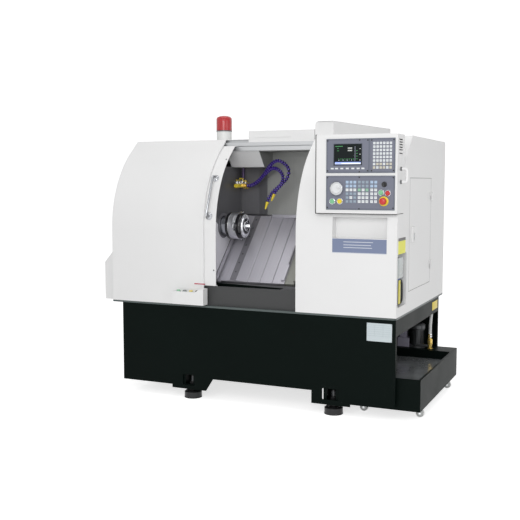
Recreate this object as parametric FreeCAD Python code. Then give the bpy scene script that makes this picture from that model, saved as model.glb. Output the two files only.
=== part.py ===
import FreeCAD, Part
import math
import os

# Slant bed turning lathe, millimetres. X runs to the right, Y to the back, Z up from the floor.
# The origin lies on the floor in the middle of the whole machine's width and depth.

# Driving dimensions
cabinet_width = 1988.0
cabinet_depth = 1290.0
cabinet_height = 1090.0
base_height = 620.0
deck_thick = 12.0
sheet = 3.0
liner_sheet = 2.0
hood_radius = 680.0
arc_to_roof = 602.0
hood_sweep = 50.0
roof_corner = 30.0
end_cover_reach = 110.0
tank_reach = 143.0
wheel_reach = 75.0
opening_width = 644.0
right_cover_width = 640.0
door_inset = 12.0
running_gap = 0.3
bearing_gap = 0.05

x_left = -(cabinet_width + end_cover_reach + tank_reach) / 2 + end_cover_reach
x_right = x_left + cabinet_width
y_front = -(cabinet_depth + wheel_reach) / 2 + wheel_reach
y_back = y_front + cabinet_depth
deck_top = base_height + deck_thick
roof_height = deck_top + cabinet_height
hood_centre_height = roof_height - arc_to_roof
opening_right = x_right - right_cover_width
opening_left = opening_right - opening_width

# Slanted bed: s runs up the slope, n stands square to it, both measured from a line below the deck's front edge
slope_drop = 632.0
cover_level = 447.6
cover_foot = 660.0
cover_head = 1253.0
way_level = cover_level - 95.6
bed_level = way_level - 40.0
spindle_s = cover_head - 233.4
spindle_n = cover_level + 147.8
screw_n = bed_level - 12.0

V = FreeCAD.Vector
along_x = V(1, 0, 0)
along_y = V(0, 1, 0)
along_z = V(0, 0, 1)
root_half = math.sqrt(0.5)


def block(x0, x1, y0, y1, z0, z1):
    return Part.makeBox(x1 - x0, y1 - y0, z1 - z0, V(x0, y0, z0))


def rod(x, y, z, radius, length, along):
    return Part.makeCylinder(radius, length, V(x, y, z), along)


def ring(x, y, z, radius, bore, length, along):
    start = V(x, y, z) - along * 1.0
    return rod(x, y, z, radius, length, along).cut(Part.makeCylinder(bore, length + 2, start, along))


def prism(points, along):
    return Part.Face(Part.makePolygon(points + [points[0]])).extrude(along)


def turned(x, y, z, outline, along):
    """Body of revolution: the outline gives the distance along the axis and the radius."""
    side = along_z if abs(along.z) < 0.5 else along_x
    points = [V(x, y, z) + along * a + side * r for a, r in outline]
    return Part.Face(Part.makePolygon(points + [points[0]])).revolve(V(x, y, z), along, 360)


def rounded(shape, radius, along):
    """Round every straight edge that runs along the given axis."""
    picked = [e for e in shape.Edges if e.Curve.TypeId == "Part::GeomLine"
              and abs(abs(e.tangentAt(e.FirstParameter).dot(along)) - 1) < 1e-6]
    return shape.makeFillet(radius, picked)


def joined(first, *others):
    return first.multiFuse(list(others)).removeSplitter()


def welded(*parts):
    """Plates that meet face to face, each its own solid: a later one ends where an earlier one stands."""
    solids = []
    for part in parts:
        for other in solids:
            if part.Solids and part.BoundBox.intersect(other.BoundBox):
                part = part.cut(other)
        solids.extend(solid for solid in part.Solids if solid.Volume > 20)
    return Part.makeCompound(solids)


def bed_point(x, s, n):
    return V(x, y_front + (s - n) * root_half, deck_top - slope_drop + (s + n) * root_half)


def slant_block(x0, x1, s0, s1, n0, n1):
    corners = [bed_point(x0, s0, n0), bed_point(x0, s1, n0), bed_point(x0, s1, n1), bed_point(x0, s0, n1)]
    return prism(corners, V(x1 - x0, 0, 0))


def bent_rod(points, radius, bend):
    """Round rod along straight runs that are joined by tangent arcs."""
    edges = []
    start = points[0]
    for before, corner, after in zip(points, points[1:], points[2:]):
        back = (before - corner).normalize()
        ahead = (after - corner).normalize()
        half = back.getAngle(ahead) / 2
        reach = bend / math.tan(half)
        inward = (back + ahead).normalize()
        arc_in = corner + back * reach
        arc_out = corner + ahead * reach
        middle = corner + inward * (bend / math.sin(half) - bend)
        edges.append(Part.LineSegment(start, arc_in).toShape())
        edges.append(Part.Arc(arc_in, middle, arc_out).toShape())
        start = arc_out
    edges.append(Part.LineSegment(start, points[-1]).toShape())
    section = Part.Wire(Part.makeCircle(radius, points[0], points[1] - points[0]))
    return Part.Wire(edges).makePipeShell([section], True, False)


def cabinet_face(inset, x):
    """Side outline of the cabinet, moved inwards by the inset and open at its foot."""
    radius = hood_radius - inset
    sweep = math.radians(hood_sweep)
    centre_y = y_front + hood_radius
    foot = V(x, y_front + inset, deck_top)
    start = V(x, y_front + inset, hood_centre_height)
    middle = V(x, centre_y - radius * math.cos(sweep / 2), hood_centre_height + radius * math.sin(sweep / 2))
    end = V(x, centre_y - radius * math.cos(sweep), hood_centre_height + radius * math.sin(sweep))
    top = roof_height - inset
    crest = V(x, end.y + (top - end.z) * math.tan(sweep), top)
    corner = max(roof_corner - inset, 2.0)
    back = y_back - inset
    bend_in = V(x, back - corner, top)
    bend_mid = V(x, back - corner * (1 - root_half), top - corner * (1 - root_half))
    bend_out = V(x, back, top - corner)
    heel = V(x, back, deck_top)
    edges = [Part.LineSegment(foot, start).toShape(),
             Part.Arc(start, middle, end).toShape(),
             Part.LineSegment(end, crest).toShape(),
             Part.LineSegment(crest, bend_in).toShape(),
             Part.Arc(bend_in, bend_mid, bend_out).toShape(),
             Part.LineSegment(bend_out, heel).toShape(),
             Part.LineSegment(heel, foot).toShape()]
    return Part.Face(Part.Wire(edges))


def cabinet_core(inset, x0, x1):
    return cabinet_face(inset, x0).extrude(V(x1 - x0, 0, 0))


def cabinet_shell(outer_inset, inner_inset, x0, x1):
    return cabinet_core(outer_inset, x0, x1).cut(cabinet_core(inner_inset, x0 - 1, x1 + 1))


def front_surface(z, inset):
    """Y of the front at a height on the upright, on the arc or on the slope above it."""
    if z <= hood_centre_height:
        return y_front + inset
    radius = hood_radius - inset
    arc_end = hood_centre_height + radius * math.sin(math.radians(hood_sweep))
    if z > arc_end:
        slope_foot = y_front + hood_radius - radius * math.cos(math.radians(hood_sweep))
        return slope_foot + (z - arc_end) * math.tan(math.radians(hood_sweep))
    return y_front + hood_radius - math.sqrt(radius ** 2 - (z - hood_centre_height) ** 2)


sweep_angle = math.radians(hood_sweep)
crest_y = y_front + hood_radius * (1 - math.cos(sweep_angle))
crest_y += (roof_height - hood_centre_height - hood_radius * math.sin(sweep_angle)) * math.tan(sweep_angle)

# ---------------------------------------------------------------- base, feet and deck
base_left = x_right - 1909.0
base_back = y_front + 1165.0
plate = 6.0
foot_x = [x_right - 1400.0, x_right - 405.0]
foot_y = [y_front + 62.0, y_front + 1103.0]
foot_plate_z = 66.0
foot_plate_thick = 20.0
foot_stem = 15.0
band_depth = 100.0
band_foot = base_height - band_depth
divider_x = x_right - 480.0
pan_left = x_right - 1290.0
pan_back = y_front + 600.0
pan_depth = [80.0, 320.0]
chute_left = x_right - 1250.0
chute_right = x_right - 790.0
chute_front = y_front + 45.0
chute_back = y_front + 150.0
belt_slot = [x_right - 1810.0, x_right - 1730.0, y_front + 200.0, y_front + 540.0]
motor_shelf_z = 284.0


def base_frame():
    outline = [(0, base_height), (0, 85), (-254, 85), (-254, 83), (-279, 83), (-279, 67), (-531, 67), (-531, 148),
               (-1220, 148), (-1272, 66), (-1525, 66), (-1525, 88), (-1909, 88), (-1909, base_height)]
    front = prism([V(x_right + x, y_front, z) for x, z in outline], V(0, plate, 0))
    right_window = block(x_right - 461, x_right - 350, y_front - 1, y_front + plate + 1, 98, 168)
    left_window = block(x_right - 1444, x_right - 1354, y_front - 1, y_front + plate + 1, 91, 163)
    front = front.cut(rounded(right_window, 8, along_y)).cut(rounded(left_window, 8, along_y))
    parts = [front]
    parts.append(block(base_left, base_left + plate, y_front + plate, base_back, 88, base_height))
    parts.append(block(base_left + plate, x_right, base_back - plate, base_back, 150, base_height))
    parts.append(block(x_right - plate, x_right, y_front + plate, y_front + 25, 85, base_height))
    parts.append(block(x_right - plate, x_right, y_front + 25, base_back - 25, band_foot, base_height))
    parts.append(block(x_right - plate, x_right, base_back - 25, base_back - plate, 67, base_height))
    parts.append(block(x_right - 60, x_right - plate, base_back - 25, base_back, 67, 160))
    for x in foot_x:
        for y in foot_y:
            near = y_front + plate if y == foot_y[0] else y - 55
            far = y + 63 if y == foot_y[0] else base_back - plate
            pad = block(x - 65, x + 65, near, far, foot_plate_z, foot_plate_z + foot_plate_thick)
            parts.append(pad.cut(rod(x, y, 0, foot_stem + 0.5, 200, along_z)))
            post_foot = foot_plate_z + foot_plate_thick
            mouth = block(x - 30, x + 30, y - 51, y + 51, foot_plate_z + 30, 230)
            for side in (x - 50, x + 44):
                parts.append(block(side, side + plate, y - 50, y + 50, post_foot, base_height))
            for side in (y - 50, y + 44):
                parts.append(block(x - 44, x + 44, side, side + plate, post_foot, base_height).cut(mouth))
        parts.append(block(x - 50, x + 50, foot_y[0] + 50, foot_y[1] - 50, band_foot, base_height - 60))
    pan_z = [base_height - pan_depth[0], base_height - pan_depth[1]]
    pan_right = tank_left - 3.0
    slope = (pan_z[0] - pan_z[1]) / (pan_right - pan_left)
    floor = [V(pan_left, y_front + plate, pan_z[0]), V(pan_right, y_front + plate, pan_z[1]),
             V(pan_right, y_front + plate, pan_z[1] + sheet), V(pan_left, y_front + plate, pan_z[0] + sheet)]
    parts.append(prism(floor, V(0, pan_back - y_front - plate, 0)))
    wall = [V(pan_left, pan_back, pan_z[0]), V(pan_right, pan_back, pan_z[1]), V(pan_right, pan_back, base_height),
            V(pan_left, pan_back, base_height)]
    parts.append(prism(wall, V(0, sheet, 0)))
    parts.append(block(pan_left - sheet, pan_left, y_front + plate, pan_back + sheet, pan_z[0], base_height))
    divider = block(divider_x - sheet, divider_x, y_front + plate, base_back - plate, 150, base_height)
    window_z = pan_z[0] - slope * (divider_x - pan_left)
    gate = block(divider_x - 10, divider_x + 10, y_front + 120, pan_back - 20, window_z + 12, base_height - 90)
    parts.append(divider.cut(gate))
    shelf = block(base_left + plate, x_right - 1395, y_front + 290, y_front + 560, motor_shelf_z, motor_shelf_z + plate)
    hanger = block(x_right - 1401, x_right - 1395, y_front + 290, y_front + 560, motor_shelf_z, base_height)
    parts += [hanger, shelf]
    for x in (x_right - 895, x_right - 278):
        parts.append(rod(x, y_front - 4, base_height - 6, 6, 4, along_y))
    return welded(*parts)


def deck_plate():
    plate_shape = block(x_left, x_right, y_front, y_back, base_height, deck_top)
    plate_shape = plate_shape.cut(block(chute_left, chute_right, chute_front, chute_back, base_height - 1, deck_top + 1))
    slot = block(belt_slot[0], belt_slot[1], belt_slot[2], belt_slot[3], base_height - 1, deck_top + 1)
    corner = prism([V(x_right + 1, y_front - 1, 0), V(x_right - 14, y_front - 1, 0), V(x_right + 1, y_front + 14, 0)],
                   V(0, 0, roof_height))
    nipple = rod(hose_x, hose_top_y, base_height - 18, hose_bore - 0.5, 18, along_z)
    return joined(plate_shape.cut(slot).cut(corner), nipple)


def levelling_feet():
    feet = []
    for x in foot_x:
        for y in foot_y:
            pad = turned(x, y, 0, [(0, 0), (0, 58), (40, 58), (50, 45), (50, foot_stem), (152, foot_stem), (152, 0)],
                         along_z)
            nuts = []
            for z in (foot_plate_z - 20, foot_plate_z + foot_plate_thick):
                corners = [V(x + 25 * math.cos(math.radians(a)), y + 25 * math.sin(math.radians(a)), z)
                           for a in range(0, 360, 60)]
                nuts.append(prism(corners, V(0, 0, 20)))
            feet.append(joined(pad, *nuts))
    return Part.makeCompound(feet)


# ---------------------------------------------------------------- bed, headstock and spindle
bed_left = x_right - 1720.0
bed_right = x_right - 230.0
bed_foot_s = cover_foot + 40.0
bed_head_s = cover_head - 23.0
rail_foot_s = bed_foot_s + 5.0
rail_head_s = bed_head_s - 75.0
rail_width = 70.0
head_right = x_right - 1330.0
head_bearing = [x_right - 1400.0, x_right - 1340.0, 85.0, 50.0]
tail_bearing = [x_right - 1700.0, x_right - 1650.0, 75.0, 45.0]
spindle_y = bed_point(0, spindle_s, spindle_n).y
spindle_z = bed_point(0, spindle_s, spindle_n).z
motor_y = y_front + 420.0
motor_half = 110.0
motor_z = motor_shelf_z + plate + motor_half
pulley_left = x_right - 1800.0
pulley_right = x_right - 1740.0
spindle_pulley_radius = 85.0
motor_pulley_radius = 60.0
belt_thick = 7.0
adapter_left = x_right - 1236.0
screw_radius = 16.0
journal_radius = 12.0


def bed_section(x, shrink):
    """Cross section of the slanted casting, moved inwards by the wall thickness."""
    foot_low = deck_top + (0 if shrink == 0 else shrink)
    front_top = bed_point(x, bed_foot_s + shrink * 1.5, bed_level - shrink)
    rear_top = bed_point(x, bed_head_s - shrink, bed_level - shrink)
    heel_y = rear_top.y + 170.0
    return [V(x, front_top.y - 0.0, foot_low), front_top, rear_top, V(x, heel_y - shrink, rear_top.z),
            V(x, y_front + 980 - shrink, foot_low)]


def bed_casting():
    body = prism(bed_section(bed_left, 0), V(bed_right - bed_left, 0, 0))
    rib = 24.0
    bays = 5
    pitch = (bed_right - bed_left - rib) / bays
    for i in range(bays):
        x = bed_left + rib + i * pitch
        core = prism(bed_section(x, 28), V(pitch - rib, 0, 0))
        below = block(x + 40, x + pitch - rib - 40, y_front + 300, y_front + 800, deck_top - 1, deck_top + 40)
        body = body.cut(core).cut(below)
    channel = slant_block(bed_left + 430, bed_right - 30, spindle_s - 58, spindle_s + 58, bed_level - 50, bed_level + 1)
    body = body.cut(channel)
    rails = []
    for s0 in (rail_foot_s, rail_head_s):
        rails.append(slant_block(bed_left, bed_right, s0, s0 + rail_width, bed_level - 6, way_level))
    blocks = []
    for x0, x1 in ((x_right - 1330, x_right - 1290), (x_right - 260, x_right - 230)):
        holder = slant_block(x0, x1, spindle_s - 50, spindle_s + 50, bed_level - 50, screw_n + 34)
        blocks.append(holder)
    bore = bed_point(bed_left + 300, spindle_s, screw_n)
    bore_rod = rod(bore.x, bore.y, bore.z, journal_radius + bearing_gap, cabinet_width, along_x)
    return welded(body.cut(bore_rod), *rails, *[holder.cut(bore_rod) for holder in blocks])


def headstock():
    flange = slant_block(bed_left, head_right, spindle_s - 190, spindle_s + 190, way_level, way_level + 40)
    flange = flange.cut(slant_block(bed_left - 1, head_right + 1, spindle_s - 60, spindle_s + 60, way_level - 1,
                                    way_level + 12))
    tower = slant_block(bed_left, head_right, spindle_s - 150, spindle_s + 150, way_level + 40, spindle_n)
    dome = rod(bed_left, spindle_y, spindle_z, 150, head_right - bed_left, along_x)
    fins = []
    for i in range(3):
        x = bed_left + 60 + i * 120
        fins.append(rod(x, spindle_y, spindle_z, 160, 18, along_x))
    body = joined(flange, tower, dome, *fins)
    body = body.cut(rod(bed_left - 1, spindle_y, spindle_z, head_bearing[3] + 4, 500, along_x))
    body = body.cut(rod(head_bearing[0], spindle_y, spindle_z, head_bearing[2], 60, along_x))
    body = body.cut(rod(tail_bearing[0], spindle_y, spindle_z, tail_bearing[2], 50, along_x))
    body = body.cut(rod(tail_bearing[1], spindle_y, spindle_z, 70, head_bearing[0] - tail_bearing[1], along_x))
    return body.cut(rod(bed_left - 1, spindle_y, spindle_z, 60, 21, along_x))


def spindle_bearings():
    rings = []
    for left, right, outer, inner in (head_bearing, tail_bearing):
        outline = [(0, inner + bearing_gap), (0, outer - 2), (2, outer), (right - left - 2, outer),
                   (right - left, outer - 2), (right - left, inner + bearing_gap)]
        rings.append(turned(left, spindle_y, spindle_z, outline, along_x))
    return Part.makeCompound(rings)


def spindle():
    front = head_bearing[3]
    rear = tail_bearing[3]
    start = x_right - 1824.0
    outline = [(0, 26), (0, rear - 2), (2, rear), (tail_bearing[1] + 20 - start, rear),
               (tail_bearing[1] + 20 - start, front), (head_right + 4 - start, front),
               (head_right + 4 - start, 57), (head_right + 7 - start, 60), (adapter_left - start, 60),
               (adapter_left - start, 26)]
    return turned(start, spindle_y, spindle_z, outline, along_x)


def grooved_pulley(x, y, z, radius, bore):
    width = pulley_right - pulley_left
    outline = [(0, bore), (0, radius + 6), (3, radius + 6), (3, radius)]
    for i in range(3):
        a = 8 + i * 16
        outline += [(a, radius), (a + 4, radius - 7), (a + 8, radius - 7), (a + 12, radius)]
    outline += [(width - 3, radius), (width - 3, radius + 6), (width, radius + 6), (width, bore)]
    return turned(x, y, z, outline, along_x)


def spindle_pulley():
    return grooved_pulley(pulley_left, spindle_y, spindle_z, spindle_pulley_radius, tail_bearing[3])


def motor_pulley():
    pulley = grooved_pulley(pulley_left, motor_y, motor_z, motor_pulley_radius, 19)
    shaft = rod(pulley_left, motor_y, motor_z, 19, x_right - 1640.0 - pulley_left, along_x)
    return joined(pulley, shaft)


def belt_loop(extra, x0, x1):
    """Closed belt outline round both pulleys, extra larger than their radii."""
    upper = V(x0, spindle_y, spindle_z)
    lower = V(x0, motor_y, motor_z)
    r_up = spindle_pulley_radius + extra
    r_low = motor_pulley_radius + extra
    span = (upper - lower).Length
    lean = math.atan2(upper.z - lower.z, upper.y - lower.y)
    spread = math.acos((r_up - r_low) / span)
    def at(centre, radius, angle):
        return V(x0, centre.y + radius * math.cos(angle), centre.z + radius * math.sin(angle))
    a = lean + spread
    b = lean - spread
    edges = [Part.LineSegment(at(lower, r_low, b), at(upper, r_up, b)).toShape(),
             Part.Arc(at(upper, r_up, b), at(upper, r_up, lean), at(upper, r_up, a)).toShape(),
             Part.LineSegment(at(upper, r_up, a), at(lower, r_low, a)).toShape(),
             Part.Arc(at(lower, r_low, a), at(lower, r_low, lean + math.pi), at(lower, r_low, b)).toShape()]
    return Part.Face(Part.Wire(edges)).extrude(V(x1 - x0, 0, 0))


def drive_belt():
    x0 = pulley_left + 3 + running_gap
    x1 = pulley_right - 3 - running_gap
    return belt_loop(running_gap + belt_thick, x0, x1).cut(belt_loop(running_gap, x0 - 1, x1 + 1))


def drive_motors():
    left = x_right - 1728.0
    side = motor_half
    low = motor_z - motor_half
    body = rounded(block(left, x_right - 1430, motor_y - side, motor_y + side, low, low + 2 * side), 24, along_x)
    fins = []
    for i in range(6):
        y = motor_y - 75 + i * 30
        fins.append(block(left + 30, x_right - 1460, y - 3, y + 3, low + 2 * side - 4, low + 2 * side + 8))
    spindle_motor = joined(body, *fins)
    spindle_motor = spindle_motor.cut(rod(left - 1, motor_y, motor_z, 19 + running_gap, 95, along_x))
    screw_at = bed_point(bed_right, spindle_s, screw_n)
    feed = joined(rod(screw_at.x, screw_at.y, screw_at.z, 62, 20, along_x),
                  rod(screw_at.x + 20, screw_at.y, screw_at.z, 56, 110, along_x),
                  rod(screw_at.x + 130, screw_at.y, screw_at.z, 48, 40, along_x))
    feed = feed.cut(rod(screw_at.x - 1, screw_at.y, screw_at.z, journal_radius + running_gap, 32, along_x))
    return Part.makeCompound([spindle_motor, feed])


def chuck():
    body_radius = 86.0
    bore = 12.0 + running_gap
    outline = [(0, bore), (0, 88), (3, 91), (20, 91), (23, 88), (60, 88), (60, body_radius), (74, body_radius),
               (74, body_radius - 2), (80, body_radius), (105, body_radius), (112, body_radius - 7),
               (112, 64), (119, 62), (119, bore)]
    body = turned(adapter_left, spindle_y, spindle_z, outline, along_x)
    lobes = []
    for angle in (60, 180, 300):
        turn = math.radians(angle)
        y = spindle_y + 86 * math.cos(turn)
        z = spindle_z + 86 * math.sin(turn)
        lobes.append(rod(adapter_left + 60, y, z, 26, 14, along_x))
        lobes.append(rod(adapter_left + 74, y + 8 * math.cos(turn), z + 8 * math.sin(turn), 8, 6, along_x))
    body = joined(body, *lobes)
    for angle in (0, 120, 240):
        turn = math.radians(angle)
        y = spindle_y + 42 * math.cos(turn)
        z = spindle_z + 42 * math.sin(turn)
        body = body.cut(rod(adapter_left + 109, y, z, 9, 20, along_x))
    return body


def collet():
    outline = [(0, 6), (0, 12), (88, 12), (92, 10), (92, 6)]
    return turned(adapter_left + 58, spindle_y, spindle_z, outline, along_x)


# ---------------------------------------------------------------- cabinet sheets
header_left = x_right - 1116.0
header_right = x_right - 646.0
rail_low = roof_height - 77.0
rail_top = roof_height - 22.0
tongue_z = rail_low + 27.0
tongue_thick = 4.0
rail_set = 26.608519
rail_front = front_surface(tongue_z + tongue_thick, door_inset) + rail_set
low_ceiling = rail_low - 105.0
beacon_x = x_right - 1345.0
beacon_y = rail_front + 100.0
beacon_radius = 52.0
duct_left = x_right - 643.0
duct_right = x_right - 517.0
duct_front = rail_front + 8.0
duct_back = y_back - 5.0
duct_top = roof_height + 105.0
control_left = x_right - 498.0
control_right = x_right + 2.0
control_front = y_front - 25.0
control_back = y_front + 133.0
control_top = roof_height - 5.0
control_low = control_top - 467.0
control_gap = 3.0
niche = [x_right - 402.0, x_right - 63.0, y_front + 70.0, control_low - 150.0, control_low - 23.0]
side_door_front = y_front + 283.0
side_door_back = y_front + 858.0
side_door_low = deck_top + 128.0
side_door_high = side_door_low + 702.0
oiler = [y_front + 20.0, y_front + 228.0, deck_top + 58.0, deck_top + 383.0]
oiler_depth = 120.0


def front_sheet(x0, x1):
    """Curved front sheet with its edge hem, foot flange and the flange that bolts under the roof."""
    curved = cabinet_shell(0, sheet, x0, x1).common(block(x0, x1, y_front - 1, crest_y, 0, roof_height))
    foot = block(x0, x1, y_front + 1, y_front + 24, deck_top, deck_top + sheet)
    top = block(x0, x1, crest_y - 6, crest_y + 18, roof_height - 2 * sheet, roof_height - sheet)
    return [curved, foot, top.common(cabinet_core(sheet, x0, x1))]


def edge_hem(x0, x1):
    hem = cabinet_shell(1, 9, x0, x1)
    return hem.common(block(x0, x1, y_front - 1, crest_y - 4, 0, roof_height - 2 * sheet))


def left_hood():
    parts = front_sheet(x_left + sheet, opening_left)
    parts.append(edge_hem(opening_left - sheet, opening_left))
    parts.append(cabinet_core(0, x_left, x_left + sheet))
    body = joined(*parts)
    cover_front = y_front + 70.0
    cover_back = y_front + 560.0
    low = deck_top - 8.0
    shoulder = low + 259.0
    high = shoulder + 70.0
    step = 62.0
    def outline(inset):
        return [V(x_left, cover_front + inset, low + inset), V(x_left - end_cover_reach + inset, cover_front + inset,
                low + inset), V(x_left - end_cover_reach + inset, cover_front + inset, shoulder - inset / 2),
                V(x_left - end_cover_reach + step, cover_front + inset, high - inset),
                V(x_left, cover_front + inset, high - inset)]
    box = prism(outline(0), V(0, cover_back - cover_front, 0))
    box = box.cut(prism(outline(liner_sheet), V(0, cover_back - cover_front - 2 * liner_sheet, 0)))
    return joined(body, box)


def rear_cover():
    shell = cabinet_shell(0, sheet, x_left + sheet, x_right - sheet)
    shell = shell.common(block(x_left, x_right, crest_y, y_back, 0, roof_height))
    shell = shell.cut(rod(beacon_x, beacon_y, roof_height - 10, 8, 20, along_z))
    vent = block(duct_left + 20, duct_right - 20, duct_front + 60, duct_back - 60, roof_height - 10, roof_height + 1)
    shell = shell.cut(vent)
    front = rail_front + 6.0
    back = front + 134.0
    header_top = roof_height + 54.0
    outer = block(header_left, header_right, front, back, rail_top, header_top)
    inner = block(header_left + sheet, header_right - sheet, front + sheet, back - sheet, rail_top - 1,
                  header_top - sheet)
    header = outer.cut(inner).cut(block(header_left, header_right, front + sheet, back + 1, rail_top - 1, roof_height - sheet))
    lamp = block(x_right - 1065, x_right - 813, front - 2, front + 1, roof_height + 9, roof_height + 17)
    bottom_flange = block(x_left + sheet, x_right - sheet, y_back - 30, y_back - 1, deck_top, deck_top + sheet)
    return joined(shell, header, lamp, bottom_flange)


def niche_tub():
    left, right, back, low, high = niche
    outer = block(left - sheet, right + sheet, y_front, back + sheet, low - sheet, high + sheet)
    inner = block(left, right, y_front - 1, back, low, high)
    return outer.cut(inner).common(cabinet_core(0, left - 10, right + 10))


def control_notch():
    return block(control_left - control_gap, control_right + 10, y_front - 50, control_back + control_gap,
                 control_low - control_gap, control_top + control_gap)


def right_front_cover():
    parts = front_sheet(opening_right, x_right - sheet)
    parts.append(edge_hem(opening_right, opening_right + sheet))
    body = joined(*parts).cut(control_notch())
    left, right, back, low, high = niche
    body = body.cut(block(left, right, y_front - 1, back - 5, low, high))
    return joined(body, niche_tub())


def right_side_panel():
    panel = cabinet_core(0, x_right - sheet, x_right).cut(control_notch())
    door_hole = block(x_right - 10, x_right + 1, side_door_front, side_door_back, side_door_low, side_door_high)
    panel = panel.cut(rounded(door_hole, 6, along_x))
    y0, y1, z0, z1 = oiler
    hole = rounded(block(x_right - oiler_depth, x_right + 1, y0, y1, z0, z1), 24, along_x)
    tub = rounded(block(x_right - oiler_depth - sheet, x_right, y0 - sheet, y1 + sheet, z0 - sheet, z1 + sheet), 27,
                  along_x)
    panel = joined(panel, tub).cut(hole)
    knuckles = []
    for z in side_hinges:
        knuckles.append(rod(hinge_x, hinge_y, z, hinge_radius, 30, along_z))
        knuckles.append(rod(hinge_x, hinge_y, z, 3, 60, along_z))
        knuckles.append(block(x_right - 0.5, x_right + 2.5, hinge_y, hinge_y + 34, z, z + 30))
    return joined(panel, *knuckles)


hinge_x = x_right + 6.5
hinge_y = y_front + 859.5
hinge_radius = 6.0
side_hinges = [side_door_low + 90.0, side_door_high - 150.0]


def side_door():
    gap = 2.0
    low = side_door_low + gap
    high = side_door_high - gap
    front = side_door_front + gap
    back = side_door_back - gap
    skin = rounded(block(x_right - sheet, x_right, front, back, low, high), 5, along_x)
    rim = block(x_right - 20, x_right - 1, front + 4, back - 4, low + 4, high - 4)
    rim = rim.cut(block(x_right - 30, x_right, front + 4 + liner_sheet, back - 4 - liner_sheet, low + 4 + liner_sheet,
                        high - 4 - liner_sheet))
    latch_y = [y_front + 337.0, y_front + 402.0]
    latch_z = [side_door_low + 302.0, side_door_low + 397.0]
    latch = rounded(block(x_right - 1, x_right + 12, latch_y[0], latch_y[1], latch_z[0], latch_z[1]), 8, along_x)
    pocket = block(x_right + 3, x_right + 13, latch_y[0] + 10, latch_y[1] - 10, latch_z[0] + 12, latch_z[1] - 40)
    parts = [skin, rim, latch.cut(rounded(pocket, 6, along_x))]
    for z in side_hinges:
        barrel = rod(hinge_x, hinge_y, z + 30 + running_gap, hinge_radius, 30 - running_gap, along_z)
        leaf = block(x_right + running_gap, x_right + 2.5, hinge_y - 38, hinge_y, z + 30 + running_gap, z + 60)
        weld = block(x_right - 0.5, x_right + 2.5, hinge_y - 38, back, z + 30 + running_gap, z + 60)
        bore = rod(hinge_x, hinge_y, z, 3 + bearing_gap, 80, along_z)
        parts.append(joined(barrel, leaf, weld).cut(bore))
    return joined(*parts)


def door_rail():
    back = rail_front + 45.0
    beam = block(x_left + sheet, opening_right, rail_front, back, rail_low, rail_top)
    groove = block(x_left, opening_right + 1, rail_front - 1, rail_front + 19, tongue_z - running_gap,
                   tongue_z + tongue_thick + running_gap)
    relief = block(x_left + 40, opening_right - 40, rail_front + 22, back - 4, rail_low - 1, rail_top - 12)
    hanger = block(x_left + sheet, opening_right, back - 15, back, rail_top, roof_height - sheet)
    return joined(beam.cut(groove).cut(relief), hanger)


door_left = x_right - 1870.0
door_right = x_right - 1200.0
sill_top = bed_point(0, cover_foot, cover_level).z - 23.191471
door_foot = sill_top + 5.0
window_low = door_foot + 195.0
window_high = window_low + 440.0


def door_panel():
    top = tongue_z + tongue_thick
    skin = cabinet_shell(door_inset, door_inset + sheet, door_left, door_right)
    skin = skin.common(block(door_left, door_right, y_front, rail_front - 3, door_foot, top))
    tongue = block(door_left, door_right, rail_front - 24, rail_front + 18, tongue_z, top)
    shelf = block(door_left, door_right, y_front + door_inset + 1, y_front + 34, door_foot, door_foot + sheet)
    guide = block(door_left, door_right, y_front + 31, y_front + 34, sill_top - 11, door_foot + 1)
    window = rounded(block(door_left + 80, door_right - 130, y_front - 1, y_front + 300, window_low, window_high), 30, along_y)
    return joined(skin.cut(window), tongue, shelf, guide)


def door_window():
    back = door_inset + sheet
    pane = cabinet_shell(back, back + 5, door_left + 60, door_right - 110)
    return pane.common(block(door_left, door_right, y_front, y_front + 400, window_low - 20, window_high + 20))


def door_handle():
    x_low = x_right - 1250.0
    x_high = x_right - 1245.0
    z_low = hood_centre_height + 96.0
    z_high = z_low + 244.0
    def away(z, reach):
        angle = math.asin((z - hood_centre_height) / hood_radius)
        return V(0, -reach * math.cos(angle), reach * math.sin(angle))
    low = V(x_low, front_surface(z_low, door_inset), z_low)
    high = V(x_high, front_surface(z_high, door_inset), z_high)
    points = [low, low + away(z_low, 45), high + away(z_high, 45), high]
    grip = bent_rod(points, 7, 16)
    skin = cabinet_core(door_inset, x_low - 40, x_high + 40)
    return grip.cut(skin)


def chute_sill():
    left = x_right - 1880.0
    right = x_right - 636.0
    front = y_front + 25.0
    head = block(left, right, front, front + 20, sill_top - 20, sill_top)
    groove = block(left - 1, right + 1, y_front + 31 - running_gap, y_front + 34 + running_gap,
                   sill_top - 11 - running_gap, sill_top + 1)
    skirt = block(left, right, front, front + sheet, deck_top, sill_top - 19)
    foot = block(left, right, front, front + 20, deck_top, deck_top + sheet)
    return joined(head.cut(groove), skirt, foot)


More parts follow.
